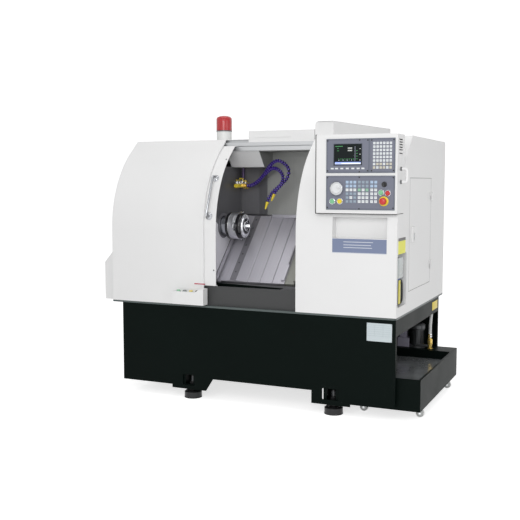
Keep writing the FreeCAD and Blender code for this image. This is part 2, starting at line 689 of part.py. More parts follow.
def work_area_liner():
    t = liner_sheet
    left = x_right - 1288.0
    right = x_right - 212.0
    step_x = x_right - 1044.0
    back = y_front + 571.0
    high_ceiling = rail_low - 4.0
    inset = 30.0
    front_line = block(left - t, right + t, y_front + 45, y_back, 0, roof_height)
    above = prism([bed_point(left - 5, 0, cover_level + 2), bed_point(left - 5, 2200, cover_level + 2),
                   bed_point(left - 5, 2200, 2600), bed_point(left - 5, 0, 2600)], V(right - left + 10, 0, 0))
    def cheek(x0, x1, top):
        inner = cabinet_core(inset, x0, x1).common(above).common(front_line)
        return inner.common(block(x0, x1, y_front, back, 0, top))
    left_wall = cheek(left - t, left, low_ceiling)
    left_wall = left_wall.cut(rod(left - 10, spindle_y, spindle_z, 64, 20, along_x))
    right_wall = cheek(right, right + t, high_ceiling)
    parts = [left_wall, right_wall]
    foot = bed_point(0, cover_head + 8, cover_level).z
    recess = back + 19.0
    recess_right = x_right - 1152.0
    fold_right = x_right - 1080.0
    wall_plan = [V(left - t, recess, foot), V(recess_right, recess, foot), V(fold_right, back, foot),
                 V(right + t, back, foot), V(right + t, back + t, foot), V(fold_right + t, back + t, foot),
                 V(recess_right + t, recess + t, foot), V(left - t, recess + t, foot)]
    for corners in ((0, 1, 6, 7), (1, 2, 5, 6), (2, 3, 4, 5)):
        parts.append(prism([wall_plan[i] for i in corners], V(0, 0, high_ceiling - foot)))
    parts.append(block(left - t, left, back - 1, recess, foot, low_ceiling))
    slope = [V(left - t, rail_front + 15, rail_low), V(left - t, rail_front + 105, low_ceiling),
             V(left - t, recess + t, low_ceiling), V(left - t, recess + t, low_ceiling - t),
             V(left - t, rail_front + 104, low_ceiling - t), V(left - t, rail_front + 15, rail_low - t)]
    parts.append(prism(slope, V(step_x - left + t, 0, 0)))
    side = [V(step_x, rail_front + 15, rail_low - t), V(step_x, rail_front + 104, low_ceiling - t),
            V(step_x, recess, low_ceiling - t), V(step_x, recess, rail_low), V(step_x, rail_front + 15, rail_low)]
    parts.append(prism(side, V(t, 0, 0)).cut(block(step_x - 5, step_x + 5, back + t, recess + 5, 0, roof_height)))
    parts.append(block(step_x, right + t, rail_front + 15, back + t, high_ceiling, high_ceiling + t))
    parts.append(block(step_x, right + t, rail_front + 15, rail_front + 15 + t, high_ceiling, rail_low))
    chute_floor = sill_top - 8
    shelf_left = block(left - t, chute_left, y_front + 45, chute_back, chute_floor, chute_floor + t)
    shelf_right = block(chute_right + 10, right + t, y_front + 45, chute_back, chute_floor, chute_floor + t)
    parts += [shelf_left, shelf_right]
    parts.append(block(chute_left - t, chute_left, y_front + 45, chute_back, deck_top, chute_floor + t))
    end_wall = [V(chute_right, chute_front, deck_top), V(chute_right + 10, chute_front, chute_floor + t),
                V(chute_right + 10 + t, chute_front, chute_floor + t), V(chute_right + t, chute_front, deck_top)]
    parts.append(prism(end_wall, V(0, chute_back - chute_front, 0)))
    parts.append(block(left - t, right + t, chute_back, chute_back + t, deck_top, cover_foot_z - 14))
    for x in (left - t, right):
        parts.append(block(x, x + t, y_front + 45, chute_back + t, chute_floor, cover_foot_z + 6))
    notch_low = niche[3] - sheet - 4
    notch = block(control_left - 8, right + 5, y_front, control_back + 5, notch_low, roof_height)
    parts = [part.cut(notch) for part in parts]
    room = cabinet_core(inset, control_left - 20, right + 10)
    room = room.common(block(control_left - 20, right + 10, y_front + 45, control_back + 20, 0, high_ceiling))
    side_sheet = block(control_left - 10, control_left - 8, y_front, control_back + 7, notch_low - t, roof_height)
    back_sheet = block(control_left - 8, right + t, control_back + 5, control_back + 7, notch_low - t, roof_height)
    low_sheet = block(control_left - 8, right + t, y_front, control_back + 5, notch_low - t, notch_low)
    parts += [piece.common(room) for piece in (side_sheet, back_sheet, low_sheet)]
    return welded(*parts)


cover_foot_z = bed_point(0, cover_foot, cover_level).z

# ---------------------------------------------------------------- way covers, saddle and turret
cover_sheet = 2.0
cover_step = 5.0
cover_nest = 4.0
cover_length = 145.0
cover_leg = 18.0
fixed_cover_left = x_right - 1236.0
fixed_cover_right = x_right - 1042.0
cover_pitch = 85.0
saddle_left = x_right - 787.0
saddle_right = x_right - 407.0
saddle_body_left = x_right - 725.0
saddle_level = way_level + 52.0


def slant_cover(level, x0, x1, lip):
    """Folded cover sheet: a slanted plate with a leg turned down along its foot and its head."""
    foot = cover_foot + cover_nest * level
    head = cover_head - cover_nest * level
    top = cover_level - cover_step * level
    sheet_part = slant_block(x0, x1, foot, head, top - cover_sheet, top)
    leg_low = slant_block(x0, x1, foot, foot + cover_sheet, top - cover_leg, top)
    leg_high = slant_block(x0, x1, head - cover_sheet, head, top - cover_leg, top)
    parts = [sheet_part, leg_low, leg_high]
    if lip:
        reach = cover_step - cover_sheet - running_gap
        parts.append(slant_block(x1 - 5, x1, foot + 4, head - 4, top - cover_sheet - reach, top - 1))
    return parts


def fixed_way_cover():
    parts = slant_cover(0, fixed_cover_left, fixed_cover_right, True)
    strip = slant_block(x_right - 1172, x_right - 1127, cover_foot + 10, cover_head - 6, cover_level, cover_level + 1.5)
    floor = slant_block(x_right - 1288, fixed_cover_left, cover_foot + 4, cover_head - 4, cover_level - 16,
                        cover_level - 14)
    web = slant_block(fixed_cover_left, fixed_cover_left + 2, cover_foot + 4, cover_head - 4, cover_level - 16,
                      cover_level - 1)
    brackets = []
    for s0 in (rail_foot_s, rail_head_s):
        brackets.append(slant_block(x_right - 1288, x_right - 1262, s0, s0 + rail_width, way_level, cover_level - 15))
    parts += [strip, floor, web] + brackets
    screws = []
    for i in range(7):
        s = cover_foot + 80 + i * (cover_head - cover_foot - 125) / 6
        place = bed_point(x_right - 1150, s, cover_level)
        screws.append(rod(place.x, place.y, place.z, 5, 4, V(0, -root_half, root_half)))
    return joined(*parts, *screws)


def way_cover(level):
    x1 = fixed_cover_right + cover_pitch * level
    return slant_cover(level, x1 - cover_length, x1, True)


def way_cover_1():
    return joined(*way_cover(1))


def way_cover_2():
    return joined(*way_cover(2))


def way_cover_3():
    parts = way_cover(3)
    top = cover_level - 3 * cover_step
    guard = slant_block(x_right - 813, x_right - 789, cover_foot + 34, cover_head - 209, top, cover_level - 2)
    start = bed_point(x_right - 795, cover_foot + 165, cover_level + 2)
    handle = rod(start.x, start.y, start.z, 6, 163, V(0, root_half, root_half))
    return joined(*parts, guard, handle)


def saddle():
    base = slant_block(saddle_left, saddle_right, rail_foot_s, rail_head_s + rail_width, way_level + running_gap, saddle_level)
    tower = slant_block(saddle_body_left, saddle_right, cover_foot + 30, cover_head - 17, saddle_level - 4, cover_level)
    base = joined(base, tower)
    base = base.cut(slant_block(saddle_left - 1, saddle_right + 1, rail_foot_s + rail_width + 15, rail_head_s - 15, way_level - 1,
                                way_level + 18))
    cover = slant_cover(4, saddle_left - 60, saddle_body_left + 4, False)
    posts = slant_block(saddle_left, saddle_body_left, cover_foot + 70, cover_head - 53, saddle_level - 4,
                        cover_level - 4 * cover_step - cover_sheet)
    nut = slant_block(x_right - 620, x_right - 500, spindle_s - 34, spindle_s + 34, screw_n - 32, way_level + 20)
    at = bed_point(x_right - 700, spindle_s, screw_n)
    nut = nut.cut(rod(at.x, at.y, at.z, screw_radius + running_gap, 300, along_x))
    wall = slant_block(saddle_body_left + 66, saddle_right - 20, cover_foot + 110, cover_head - 103, cover_level - 2,
                       cover_level + 10)
    return joined(base, *cover, posts, nut, wall)


cross_left = x_right - 625.0
cross_right = x_right - 420.0


def cross_slide():
    low = cover_level + 10 + running_gap
    plate_shape = slant_block(cross_left, cross_right, turret_s - 250, turret_s + 52, low, low + 34)
    housing = rounded(slant_block(cross_left + 20, cross_right - 30, turret_s - 110, turret_s + 52, low + 30, turret_n + 70), 18, along_x)
    neck = rod(cross_left - 6, turret_y, turret_z, 66, 30, along_x)
    body = joined(plate_shape, housing, neck)
    return body.cut(rod(cross_left - 10, turret_y, turret_z, 30 + bearing_gap, 90, along_x))


turret_s = cover_head - 73.0
turret_n = cover_level + 147.4
turret_y = bed_point(0, turret_s, turret_n).y
turret_z = bed_point(0, turret_s, turret_n).z
turret_left = x_right - 672.0
turret_thick = 40.0
turret_stations = 8


def turret_disc():
    corners = []
    for i in range(turret_stations):
        angle = math.radians(360 / turret_stations * (i + 0.5))
        corners.append(V(turret_left, turret_y + 112 * math.cos(angle), turret_z + 112 * math.sin(angle)))
    disc = prism(corners, V(turret_thick, 0, 0))
    shaft = rod(turret_left + turret_thick - 1, turret_y, turret_z, 30, 70, along_x)
    hub = rod(turret_left - 8, turret_y, turret_z, 42, 9, along_x)
    tools = []
    for i in range(0, turret_stations, 2):
        tool = block(turret_left - 16, turret_left + 8, turret_y - 10, turret_y + 10, turret_z + 70, turret_z + 142)
        tool.rotate(V(0, turret_y, turret_z), along_x, 360 / turret_stations * i)
        tools.append(tool)
    return joined(disc, shaft, hub, *tools)


def ball_screw():
    at = bed_point(0, spindle_s, screw_n)
    left = x_right - 1290.0
    right = x_right - 260.0
    thread = rod(left + running_gap, at.y, at.z, screw_radius, right - left - 2 * running_gap, along_x)
    journal = rod(left - 34, at.y, at.z, journal_radius, right - left + 94, along_x)
    return joined(thread, journal)


# ---------------------------------------------------------------- control box and its panels
panel_width = 420.0
panel_height = 200.0
panel_thick = 4.0
panel_left = control_left + 66.0
upper_low = control_low + 240.0
lower_low = control_low + 22.0
panel_front = control_front - panel_thick
button_radius = 14.0
well_wall = 3.0
well_depth = 18.0


def panel_place(u, v, upper):
    return panel_left + u, (upper_low if upper else lower_low) + v


button_places = {"power_on_button": (40, 49), "power_off_button": (87, 50), "cycle_start_button": (340, 102),
                 "feed_hold_button": (380, 99)}
stop_place = (356, 52)
key_place = (358, 150)
wheel_place = (68, 125)
stop_stem = 9.0
wheel_shaft = 8.0


def well_list():
    wells = [(place[0], place[1], button_radius) for place in button_places.values()]
    wells.append((stop_place[0], stop_place[1], stop_stem))
    wells.append((key_place[0], key_place[1], 11.0))
    wells.append((wheel_place[0], wheel_place[1], wheel_shaft))
    return wells


def control_box():
    outer = rounded(block(control_left, control_right, control_front, control_back, control_low, control_top), 5, along_y)
    inner = block(control_left + sheet, control_right - sheet, control_front + sheet, control_back + 1,
                  control_low + sheet, control_top - sheet)
    box = outer.cut(inner)
    for u, v, radius in well_list():
        x, z = panel_place(u, v, False)
        box = box.cut(rod(x, control_front - 1, z, radius + running_gap + well_wall, 10, along_y))
    for i in range(5):
        z = control_low + 370 + i * 15
        box = box.cut(block(control_right - 10, control_right + 1, y_front + 10, y_front + 90, z, z + 7))
    box = box.cut(block(control_right - 10, control_right + 1, y_front + 10, y_front + 90, control_low + 350, control_low + 356))
    back = block(control_left + 1, control_right - 1, control_back - sheet, control_back, control_low + 250,
                 control_top - 1)
    parts = [box, back]
    for z in (control_low + 40, control_low + 130):
        parts.append(block(control_left - control_gap, control_left + 1, y_front + 12, y_front + 100, z, z + 30))
        parts.append(block(control_left + 120, control_left + 180, y_front + 2, y_front + 12, control_low - control_gap,
                           control_low + 1))
    x = control_right
    y = y_front + 50.0
    low = control_low + 186
    high = low + 77
    points = [V(x - 1, y, low), V(x + 38, y, low), V(x + 38, y, high), V(x - 1, y, high)]
    grip = bent_rod(points, 8, 14)
    parts.append(grip.cut(block(x - 20, x - 1.5, y - 20, y + 20, low - 36, high + 47)))
    return joined(*parts)


def control_panels():
    plates = []
    upper = rounded(block(panel_left, panel_left + panel_width, panel_front, control_front, upper_low,
                          upper_low + panel_height), 6, along_y)
    screen = block(panel_left + 47, panel_left + 219, panel_front - 1, control_front - 1, upper_low + 46, upper_low + 169)
    plates.append(upper.cut(rounded(screen, 4, along_y)))
    lower = rounded(block(panel_left, panel_left + panel_width, panel_front, control_front, lower_low,
                          lower_low + panel_height), 6, along_y)
    stop_x, stop_z = panel_place(stop_place[0], stop_place[1], False)
    extra = [rod(stop_x, panel_front - 2, stop_z, 27.5, 3, along_y)]
    wheel_x, wheel_z = panel_place(wheel_place[0], wheel_place[1], False)
    extra.append(rod(wheel_x, panel_front - 3, wheel_z, 45, 4, along_y))
    for place in button_places.values():
        x, z = panel_place(place[0], place[1], False)
        extra.append(rod(x, panel_front - 4, z, button_radius + 3.5, 5, along_y))
    key_x, key_z = panel_place(key_place[0], key_place[1], False)
    extra.append(rod(key_x, panel_front - 3, key_z, 15, 4, along_y))
    for u, v, radius in well_list():
        x, z = panel_place(u, v, False)
        extra.append(rod(x, control_front - 1, z, radius + running_gap + well_wall, well_depth, along_y))
    lower = joined(lower, *extra)
    for u, v, radius in well_list():
        x, z = panel_place(u, v, False)
        lower = lower.cut(rod(x, panel_front - 10, z, radius + running_gap, well_depth + 11, along_y))
    plates.append(lower)
    return Part.makeCompound(plates)


def key_grid(u0, v0, pitch_u, pitch_v, columns, rows, wide, high, upper):
    keys = []
    for row in range(rows):
        for column in range(columns):
            x, z = panel_place(u0 + column * pitch_u, v0 + row * pitch_v, upper)
            keys.append(block(x, x + wide, panel_front - 2, panel_front, z, z + high))
    return keys


def panel_keys():
    keys = key_grid(27, 18, 30.5, 0, 7, 1, 24, 14, True)
    keys += key_grid(287, 22, 19.8, 20.2, 6, 8, 16.5, 16.5, True)
    keys += key_grid(122, 40, 23.6, 22.8, 3, 6, 19.5, 18.5, False)
    keys += key_grid(197, 40, 23.6, 22.8, 3, 6, 19.5, 18.5, False)
    keys += key_grid(273, 40, 24.0, 22.8, 2, 6, 19.5, 18.5, False)
    return Part.makeCompound(keys)


def push_button(name):
    u, v = button_places[name]
    x, z = panel_place(u, v, False)
    outline = [(0, 0), (0, button_radius - 2), (2, button_radius), (24, button_radius), (24, 0)]
    return turned(x, panel_front - 11, z, outline, along_y)


def emergency_stop():
    x, z = panel_place(stop_place[0], stop_place[1], False)
    outline = [(0, 0), (0, 12), (3, 18), (8, 20), (18, 20), (22, 15), (24, stop_stem), (42, stop_stem), (42, 0)]
    return turned(x, panel_front - 34, z, outline, along_y)


def handwheel():
    x, z = panel_place(wheel_place[0], wheel_place[1], False)
    rim = panel_front - 3 - running_gap
    outline = [(0, 0), (0, 26), (3, 29), (9, 29), (9, 37), (11, 39), (19, 39), (19, wheel_shaft), (32, wheel_shaft), (32, 0)]
    dial = turned(x, rim - 19, z, outline, along_y)
    grip_length = rim - 19 - (y_front - wheel_reach)
    grip = turned(x + 19, y_front - wheel_reach, z + 8, [(0, 0), (0, 5), (2, 7), (grip_length, 6), (grip_length + 2, 6),
                                                        (grip_length + 2, 0)], along_y)
    return joined(dial, grip)


def key_switch():
    x, z = panel_place(key_place[0], key_place[1], False)
    barrel = turned(x, panel_front - 9, z, [(0, 0), (0, 9.5), (1.5, 11), (20, 11), (20, 0)], along_y)
    tab = block(x - 3, x + 3, panel_front - 20, panel_front - 8, z - 10, z + 10)
    return joined(barrel, rounded(tab, 2, along_y))


# ---------------------------------------------------------------- roof pieces
def roof_duct():
    taper_right = x_right - 405.0
    def plan(inset, z):
        return [V(duct_left + inset, duct_front + inset, z), V(duct_right - inset, duct_front + inset, z),
                V(taper_right - inset, duct_back - inset, z), V(duct_left + inset, duct_back - inset, z)]
    body = prism(plan(0, roof_height), V(0, 0, duct_top - roof_height))
    body = body.makeFillet(22, [e for e in body.Edges if abs(e.BoundBox.ZMax - duct_top) < 0.1
                                and e.BoundBox.XMax < duct_left + 1 and e.BoundBox.YLength > 100])
    inner = prism(plan(liner_sheet, roof_height - 1), V(0, 0, duct_top - roof_height - 2))
    inner = inner.makeFillet(20, [e for e in inner.Edges if e.BoundBox.ZMin > duct_top - 10
                                  and e.BoundBox.XMax < duct_left + 5 and e.BoundBox.YLength > 100])
    lip = block(duct_left + 24, duct_right - 2, duct_front - 14, duct_front + 2, duct_top - 3, duct_top)
    return joined(body.cut(inner), lip)


def beacon_base():
    outline = [(0, 6), (0, beacon_radius), (58, beacon_radius), (64, beacon_radius - 2), (64, 6)]
    return turned(beacon_x, beacon_y, roof_height, outline, along_z)


def beacon_dome():
    outer = beacon_radius + 2
    outline = [(0, 0), (0, outer), (84, outer), (92, outer - 4), (99, outer - 14), (104, outer - 34), (104, 0),
               (101, 0), (101, outer - 36), (96, outer - 17), (90, outer - 8), (83, outer - 4), (3, outer - 4), (3, 0)]
    return turned(beacon_x, beacon_y, roof_height + 64, outline, along_z)


# ---------------------------------------------------------------- front button box, oiler and coolant
def button_box():
    left = x_right - 1486.0
    right = x_right - 1256.0
    front = y_front - 60.0
    back = y_front
    low = deck_top + 9.0
    high = low + 106.0
    step_x = x_right - 1316.0
    side = [V(left, front, low), V(right, front, low), V(right, front, high), V(right - 24, front, high),
            V(step_x, front, high - 22), V(left, front, high - 22)]
    tub = prism(side, V(0, 3, 0))
    floor = block(left, right, front, back, low, low + 3)
    ends = [block(left, left + 3, front, back, low, high - 22), block(right - 3, right, front, back, low, high)]
    deck = block(left, right, front + 2, back, high - 34, high - 30)
    backing = block(left, right, back - 3, back, low, high)
    box = joined(tub, floor, *ends, deck, backing)
    buttons = []
    for i, radius in enumerate((12, 12, 12, 12)):
        x = left + 34 + i * 46
        buttons.append(rod(x, front + 26, high - 31, radius + 3, 4, along_z))
        buttons.append(rod(x, front + 26, high - 30, radius, 16, along_z))
    return joined(box, *buttons)


def oil_pump():
    back = x_right - oiler_depth
    y0 = y_front + 62.0
    y1 = y_front + 186.0
    foot = oiler[2]
    tank = rounded(block(back, back + 92, y0, y1, foot + 170, foot + 296), 12, along_x)
    neck = rod(back + 46, (y0 + y1) / 2, foot + 295, 24, 16, along_z)
    body = rounded(block(back, back + 74, y0 + 10, y1 - 10, foot + 90, foot + 172), 8, along_x)
    motor = rod(back + 40, (y0 + y1) / 2 - 6, foot + 26, 30, 66, along_z)
    cap = block(back, back + 40, y0 + 20, y1 - 30, foot + 40, foot + 92)
    lever = rod(back + 40, y1 - 11, foot + 134, 10, 26, along_y)
    return joined(tank, neck, body, motor, cap, lever)


manifold_x = x_right - 1222.0
manifold_z = low_ceiling - 128.0
manifold_back = y_front + 590.0
lever_places = [(x_right - 1264.0, y_front + 552.0), (x_right - 1240.0, y_front + 552.0)]
valve_radius = 9.0
lever_lows = [manifold_z + 44.0, manifold_z + 28.0]


def coolant_manifold():
    bar = rounded(block(manifold_x - 56, manifold_x, y_front + 500, manifold_back - 8, manifold_z - 13, manifold_z + 13), 3, along_x)
    bracket = block(manifold_x - 50, manifold_x - 10, manifold_back - 10, manifold_back, manifold_z - 22, manifold_z + 22)
    parts = [bar, bracket]
    for (x, y), low in zip(lever_places, lever_lows):
        parts.append(rod(x, y, manifold_z, valve_radius, low - running_gap - manifold_z, along_z))
        parts.append(rod(x, y, manifold_z, 3, low + 10 - manifold_z, along_z))
    feed_line = rod(manifold_x - 46, y_front + 572, manifold_z + 10, 9, low_ceiling - liner_sheet - manifold_z - 10, along_z)
    parts.append(feed_line)
    for y, radius in ((hose_outer_y, 9.5), (hose_inner_y, 9.5)):
        parts.append(ring(manifold_x - 2, y, manifold_z, radius, hose_bore_radius, 10, along_x))
    return joined(*parts)


def manifold_lever(index):
    x, y = lever_places[index]
    low = lever_lows[index]
    boss = rod(x, y, low, 7, 6, along_z)
    arm = rounded(block(x - 4, x + 4, y - 44, y, low, low + 4), 3, along_z)
    return joined(boss, arm).cut(rod(x, y, low - 1, 3 + bearing_gap, 12, along_z))


hose_outer_y = y_front + 550.0
hose_inner_y = y_front + 518.0
hose_bore_radius = 4.0
rib_radius = 8.5
waist_radius = 6.3
rib_pitch = 17.0


def smooth_route(points):
    """One smooth curve through the points, straight over its first run."""
    curve = Part.BSplineCurve()
    middle = (points[0] + points[1]) * 0.5
    curve.interpolate([points[0], middle] + points[1:])
    return curve


def segmented_hose(points, nozzle_tip):
    """Chain of turned ball segments, one per stretch of the route, that ends in a cone nozzle."""
    route = smooth_route(points)
    length = route.length()
    count = int(length / rib_pitch)
    def at(i):
        return route.value(route.parameterAtDistance(min(i * length / count, length), route.FirstParameter))
    segments = []
    for i in range(count):
        start, end = at(i), at(i + 1)
        reach = (end - start).Length - 0.8
        outline = [(0, hose_bore_radius), (0, waist_radius), (0.3 * reach, rib_radius), (0.76 * reach, rib_radius),
                   (reach, waist_radius - 0.8), (reach, hose_bore_radius)]
        segment = turned(0, 0, 0, outline, along_x)
        turn = FreeCAD.Rotation(along_x, end - start)
        segment.Placement = FreeCAD.Placement(start + (end - start).normalize() * 0.4, turn)
        segments.append(segment)
    heading = (nozzle_tip - points[-1]).normalize()
    reach = (nozzle_tip - points[-1]).Length
    nozzle = turned(0, 0, 0, [(0, 2.5), (0, 5.0), (3, rib_radius), (10, rib_radius), (reach, 4.0), (reach, 2.5)], along_x)
    nozzle.Placement = FreeCAD.Placement(points[-1] + heading * 0.2, FreeCAD.Rotation(along_x, heading))
    segments.append(nozzle)
    print("segmented hose length", round(length), "segments", count)
    return segments


def segmented_hoses():
    def at(x, y, z):
        return V(x_right + x, y_front + y, manifold_z - 1412.0 + z)
    start = manifold_x + 8 - x_right
    first = start + 2 * rib_radius
    outer = [at(start, 550, 1412), at(first, 550, 1412), at(-1152, 540, 1427), at(-1106, 519, 1461), at(-1058, 498, 1509),
             at(-1007, 470, 1556), at(-950, 455, 1580), at(-898, 448, 1556), at(-867, 443, 1515),
             at(-874, 440, 1471), at(-903, 434, 1430), at(-946, 424, 1385), at(-964, 418, 1356)]
    inner = [at(start, 518, 1412), at(first, 518, 1412), at(-1142, 511, 1430), at(-1086, 500, 1474), at(-1040, 486, 1508),
             at(-990, 470, 1530), at(-942, 456, 1514), at(-912, 446, 1477), at(-922, 434, 1423),
             at(-964, 418, 1379), at(-990, 408, 1341), at(-1004, 398, 1302)]
    return Part.makeCompound(segmented_hose(outer, at(-985, 410, 1306)) + segmented_hose(inner, at(-1018, 388, 1262)))


def electrical_plate():
    face = x_right - 205.0
    y0 = y_front + 300.0
    y1 = y_front + 840.0
    z0 = deck_top + 458.0
    z1 = z0 + 350.0
    parts = [block(face, face + 3, y0, y1, z0, z1)]
    for y in (y0 + 30, y0 + 250):
        for z in (z0 + 130, z1 - 30):
            parts.append(rod(x_right - 212 + liner_sheet, y, z, 6, face - x_right + 212 - liner_sheet + 1, along_x))
    for row in range(3):
        rail_z = z0 + 60 + row * 115
        parts.append(block(face + 2, face + 10, y0 + 20, y1 - 20, rail_z - 17, rail_z + 17))
        for i in range(6):
            y = y0 + 34 + i * 80
            deep = 60 if (i + row) % 2 else 85
            parts.append(block(face + 9, face + deep, y, y + 62, rail_z - 38, rail_z + 38))
    return joined(*parts)


# ---------------------------------------------------------------- coolant tank
tank_left = x_right - 297.0
tank_right = x_right + tank_reach
tank_front = y_front + 45.0
tank_back = y_front + 1135.0
tank_low = 70.0
tank_top = 264.0
basin_floor = 205.0
cross_wall = y_front + 970.0
caster_x = [x_right - 250.0, x_right + 107.0]
caster_y = [y_front + 201.0, y_front + 1003.0]
wheel_radius = 25.0
wheel_width = 22.0
pin_radius = 4.0
pump_x = x_right - 124.0
pump_y = y_front + 1060.0
valve_x = x_right - 23.0
valve_y = y_front + 1006.0
hose_x = x_right - 18.0
hose_top_y = y_front + 1024.0
hose_bore = 8.0
hose_wall = 3.0


def coolant_tank():
    t = liner_sheet
    parts = []
    for x in (tank_left, tank_right - t):
        parts.append(block(x, x + t, tank_front, tank_back, tank_low, tank_top))
    for y in (tank_front, tank_back - t):
        parts.append(block(tank_left, tank_right, y, y + t, tank_low, tank_top))
    parts.append(block(tank_left, tank_right, tank_front, tank_back, tank_low, tank_low + t))
    parts.append(block(tank_left, tank_right, cross_wall - t, cross_wall, basin_floor - t, tank_top))
    parts.append(block(tank_left, tank_right, cross_wall, tank_back, tank_top - t, tank_top))
    tray = block(tank_left, tank_right, tank_front, cross_wall, basin_floor - t, basin_floor)
    for i in range(3):
        tray = tray.cut(rod(tank_left + 90 + i * 60, cross_wall - 80, basin_floor - 10, 18, 20, along_z))
    parts.append(tray)
    parts.append(block(tank_left, tank_right, tank_front, tank_front + 14, tank_top - t, tank_top))
    parts.append(block(tank_right - 14, tank_right, tank_front, cross_wall, tank_top - t, tank_top))
    for x in caster_x:
        for y in caster_y:
            half = wheel_width / 2 + 0.5
            head = block(x - 20, x + 20, y - half - 3, y + half + 3, tank_low - 8, tank_low)
            parts.append(head)
            for side in (-1, 1):
                y0 = y + side * half if side > 0 else y - half - 3
                cheek = joined(block(x - 12, x + 12, y0, y0 + 3, wheel_radius, tank_low - 8),
                               rod(x, y0, wheel_radius, 12, 3, along_y))
                parts.append(cheek)
            parts.append(rod(x, y - half - 1, wheel_radius, pin_radius, 2 * half + 2, along_y))
    return welded(*parts)


def caster_wheel(i, j):
    outline = [(0, pin_radius + bearing_gap), (0, wheel_radius - 3), (3, wheel_radius), (wheel_width - 3, wheel_radius),
               (wheel_width, wheel_radius - 3), (wheel_width, pin_radius + bearing_gap)]
    return turned(caster_x[i], caster_y[j] - wheel_width / 2, wheel_radius, outline, along_y)


def coolant_pump():
    motor = turned(pump_x, pump_y, tank_top, [(0, 0), (0, 56), (10, 56), (10, 46), (18, 46), (18, 50), (128, 50),
                                             (132, 47), (134, 54), (160, 54), (171, 44), (171, 0)], along_z)
    low_box = rounded(block(x_right - 262, x_right - 176, pump_y - 36, pump_y + 44, tank_top, 330), 5, along_z)
    high_box = rounded(block(x_right - 248, x_right - 196, pump_y - 26, pump_y + 30, 330, 390), 5, along_z)
    valve_line = valve_y + 8
    pipe = rod(pump_x - 6, valve_line, tank_top + 22, 9, valve_x - pump_x + 6, along_x)
    riser = rod(pump_x, valve_line, tank_top + 22, 11, pump_y - valve_line - 30, along_y)
    column = turned(valve_x, valve_line, tank_top, [(0, 0), (0, 15), (6, 15), (6, 10), (10, 10), (10, 14), (36, 14),
                                                   (36, 11), (46, 11), (46, 17), (64, 17), (64, 11), (74, 11),
                                                   (78, hose_bore - 0.5), (108, hose_bore - 0.5), (108, 0)], along_z)
    stem = rod(valve_x, valve_line, 319, 4, 30, V(0, -1, 0))
    return joined(motor, low_box, high_box, riser, pipe, column, stem)


def tank_valve_lever():
    y = valve_y + 8 - 24
    hub = rod(valve_x, y, 319, 9, 5, V(0, -1, 0))
    arm = block(valve_x - 5, valve_x + 5, y - 5, y, 319, 371)
    body = joined(hub, rounded(arm, 3, along_y))
    return body.cut(rod(valve_x, y + 3, 319, 4 + bearing_gap, 12, V(0, -1, 0)))


def tank_hose():
    low = V(valve_x, valve_y + 8, tank_top + 80)
    high = V(hose_x, hose_top_y, base_height - 0.5)
    points = [low, V(low.x, low.y, low.z + 90), V(high.x, high.y, high.z - 90), high]
    outer = bent_rod(points, hose_bore + hose_wall, 40)
    return outer.cut(bent_rod(points, hose_bore, 40))


pieces = {
    "base_frame": base_frame, "deck_plate": deck_plate, "levelling_feet": levelling_feet,
    "bed_casting": bed_casting, "headstock": headstock, "spindle_bearings": spindle_bearings,
    "drive_motors": drive_motors, "drive_belt": drive_belt, "spindle": spindle,
    "spindle_pulley": spindle_pulley, "motor_pulley": motor_pulley, "chuck": chuck, "collet": collet,
    "left_hood": left_hood, "rear_cover": rear_cover, "right_front_cover": right_front_cover,
    "right_side_panel": right_side_panel, "side_door": side_door, "door_rail": door_rail,
    "door_panel": door_panel, "door_window": door_window, "door_handle": door_handle,
    "chute_sill": chute_sill, "work_area_liner": work_area_liner, "fixed_way_cover": fixed_way_cover,
    "way_cover_1": way_cover_1, "way_cover_2": way_cover_2, "way_cover_3": way_cover_3,
    "saddle": saddle, "cross_slide": cross_slide, "turret_disc": turret_disc, "ball_screw": ball_screw,
    "control_box": control_box, "control_panels": control_panels, "panel_keys": panel_keys,
    "emergency_stop": emergency_stop, "handwheel": handwheel, "key_switch": key_switch,
    "roof_duct": roof_duct, "beacon_base": beacon_base, "beacon_dome": beacon_dome,
    "button_box": button_box, "oil_pump": oil_pump, "coolant_manifold": coolant_manifold,
    "segmented_hoses": segmented_hoses, "electrical_plate": electrical_plate,
    "coolant_tank": coolant_tank, "coolant_pump": coolant_pump, "tank_valve_lever": tank_valve_lever,
    "tank_hose": tank_hose,
}
for button in button_places:
    pieces[button] = lambda name=button: push_button(name)
for index in range(2):
    pieces["manifold_lever_" + str(index + 1)] = lambda k=index: manifold_lever(k)
for index in range(4):
    pieces["caster_wheel_" + str(index + 1)] = lambda k=index: caster_wheel(k % 2, k // 2)

os.makedirs("parts", exist_ok=True)
for name, make in pieces.items():
    shape = make()
    box = shape.BoundBox
    print(name, "solids", len(shape.Solids), "valid", shape.isValid(), "litres", round(shape.Volume / 1e6, 3),
          "x", round(box.XMin - x_right), round(box.XMax - x_right), "y", round(box.YMin - y_front),
          round(box.YMax - y_front), "z", round(box.ZMin), round(box.ZMax), flush=True)
    shape.exportStep("parts/" + name + ".step")
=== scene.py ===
import math
import bmesh
import bpy
from mathutils import Matrix, Vector


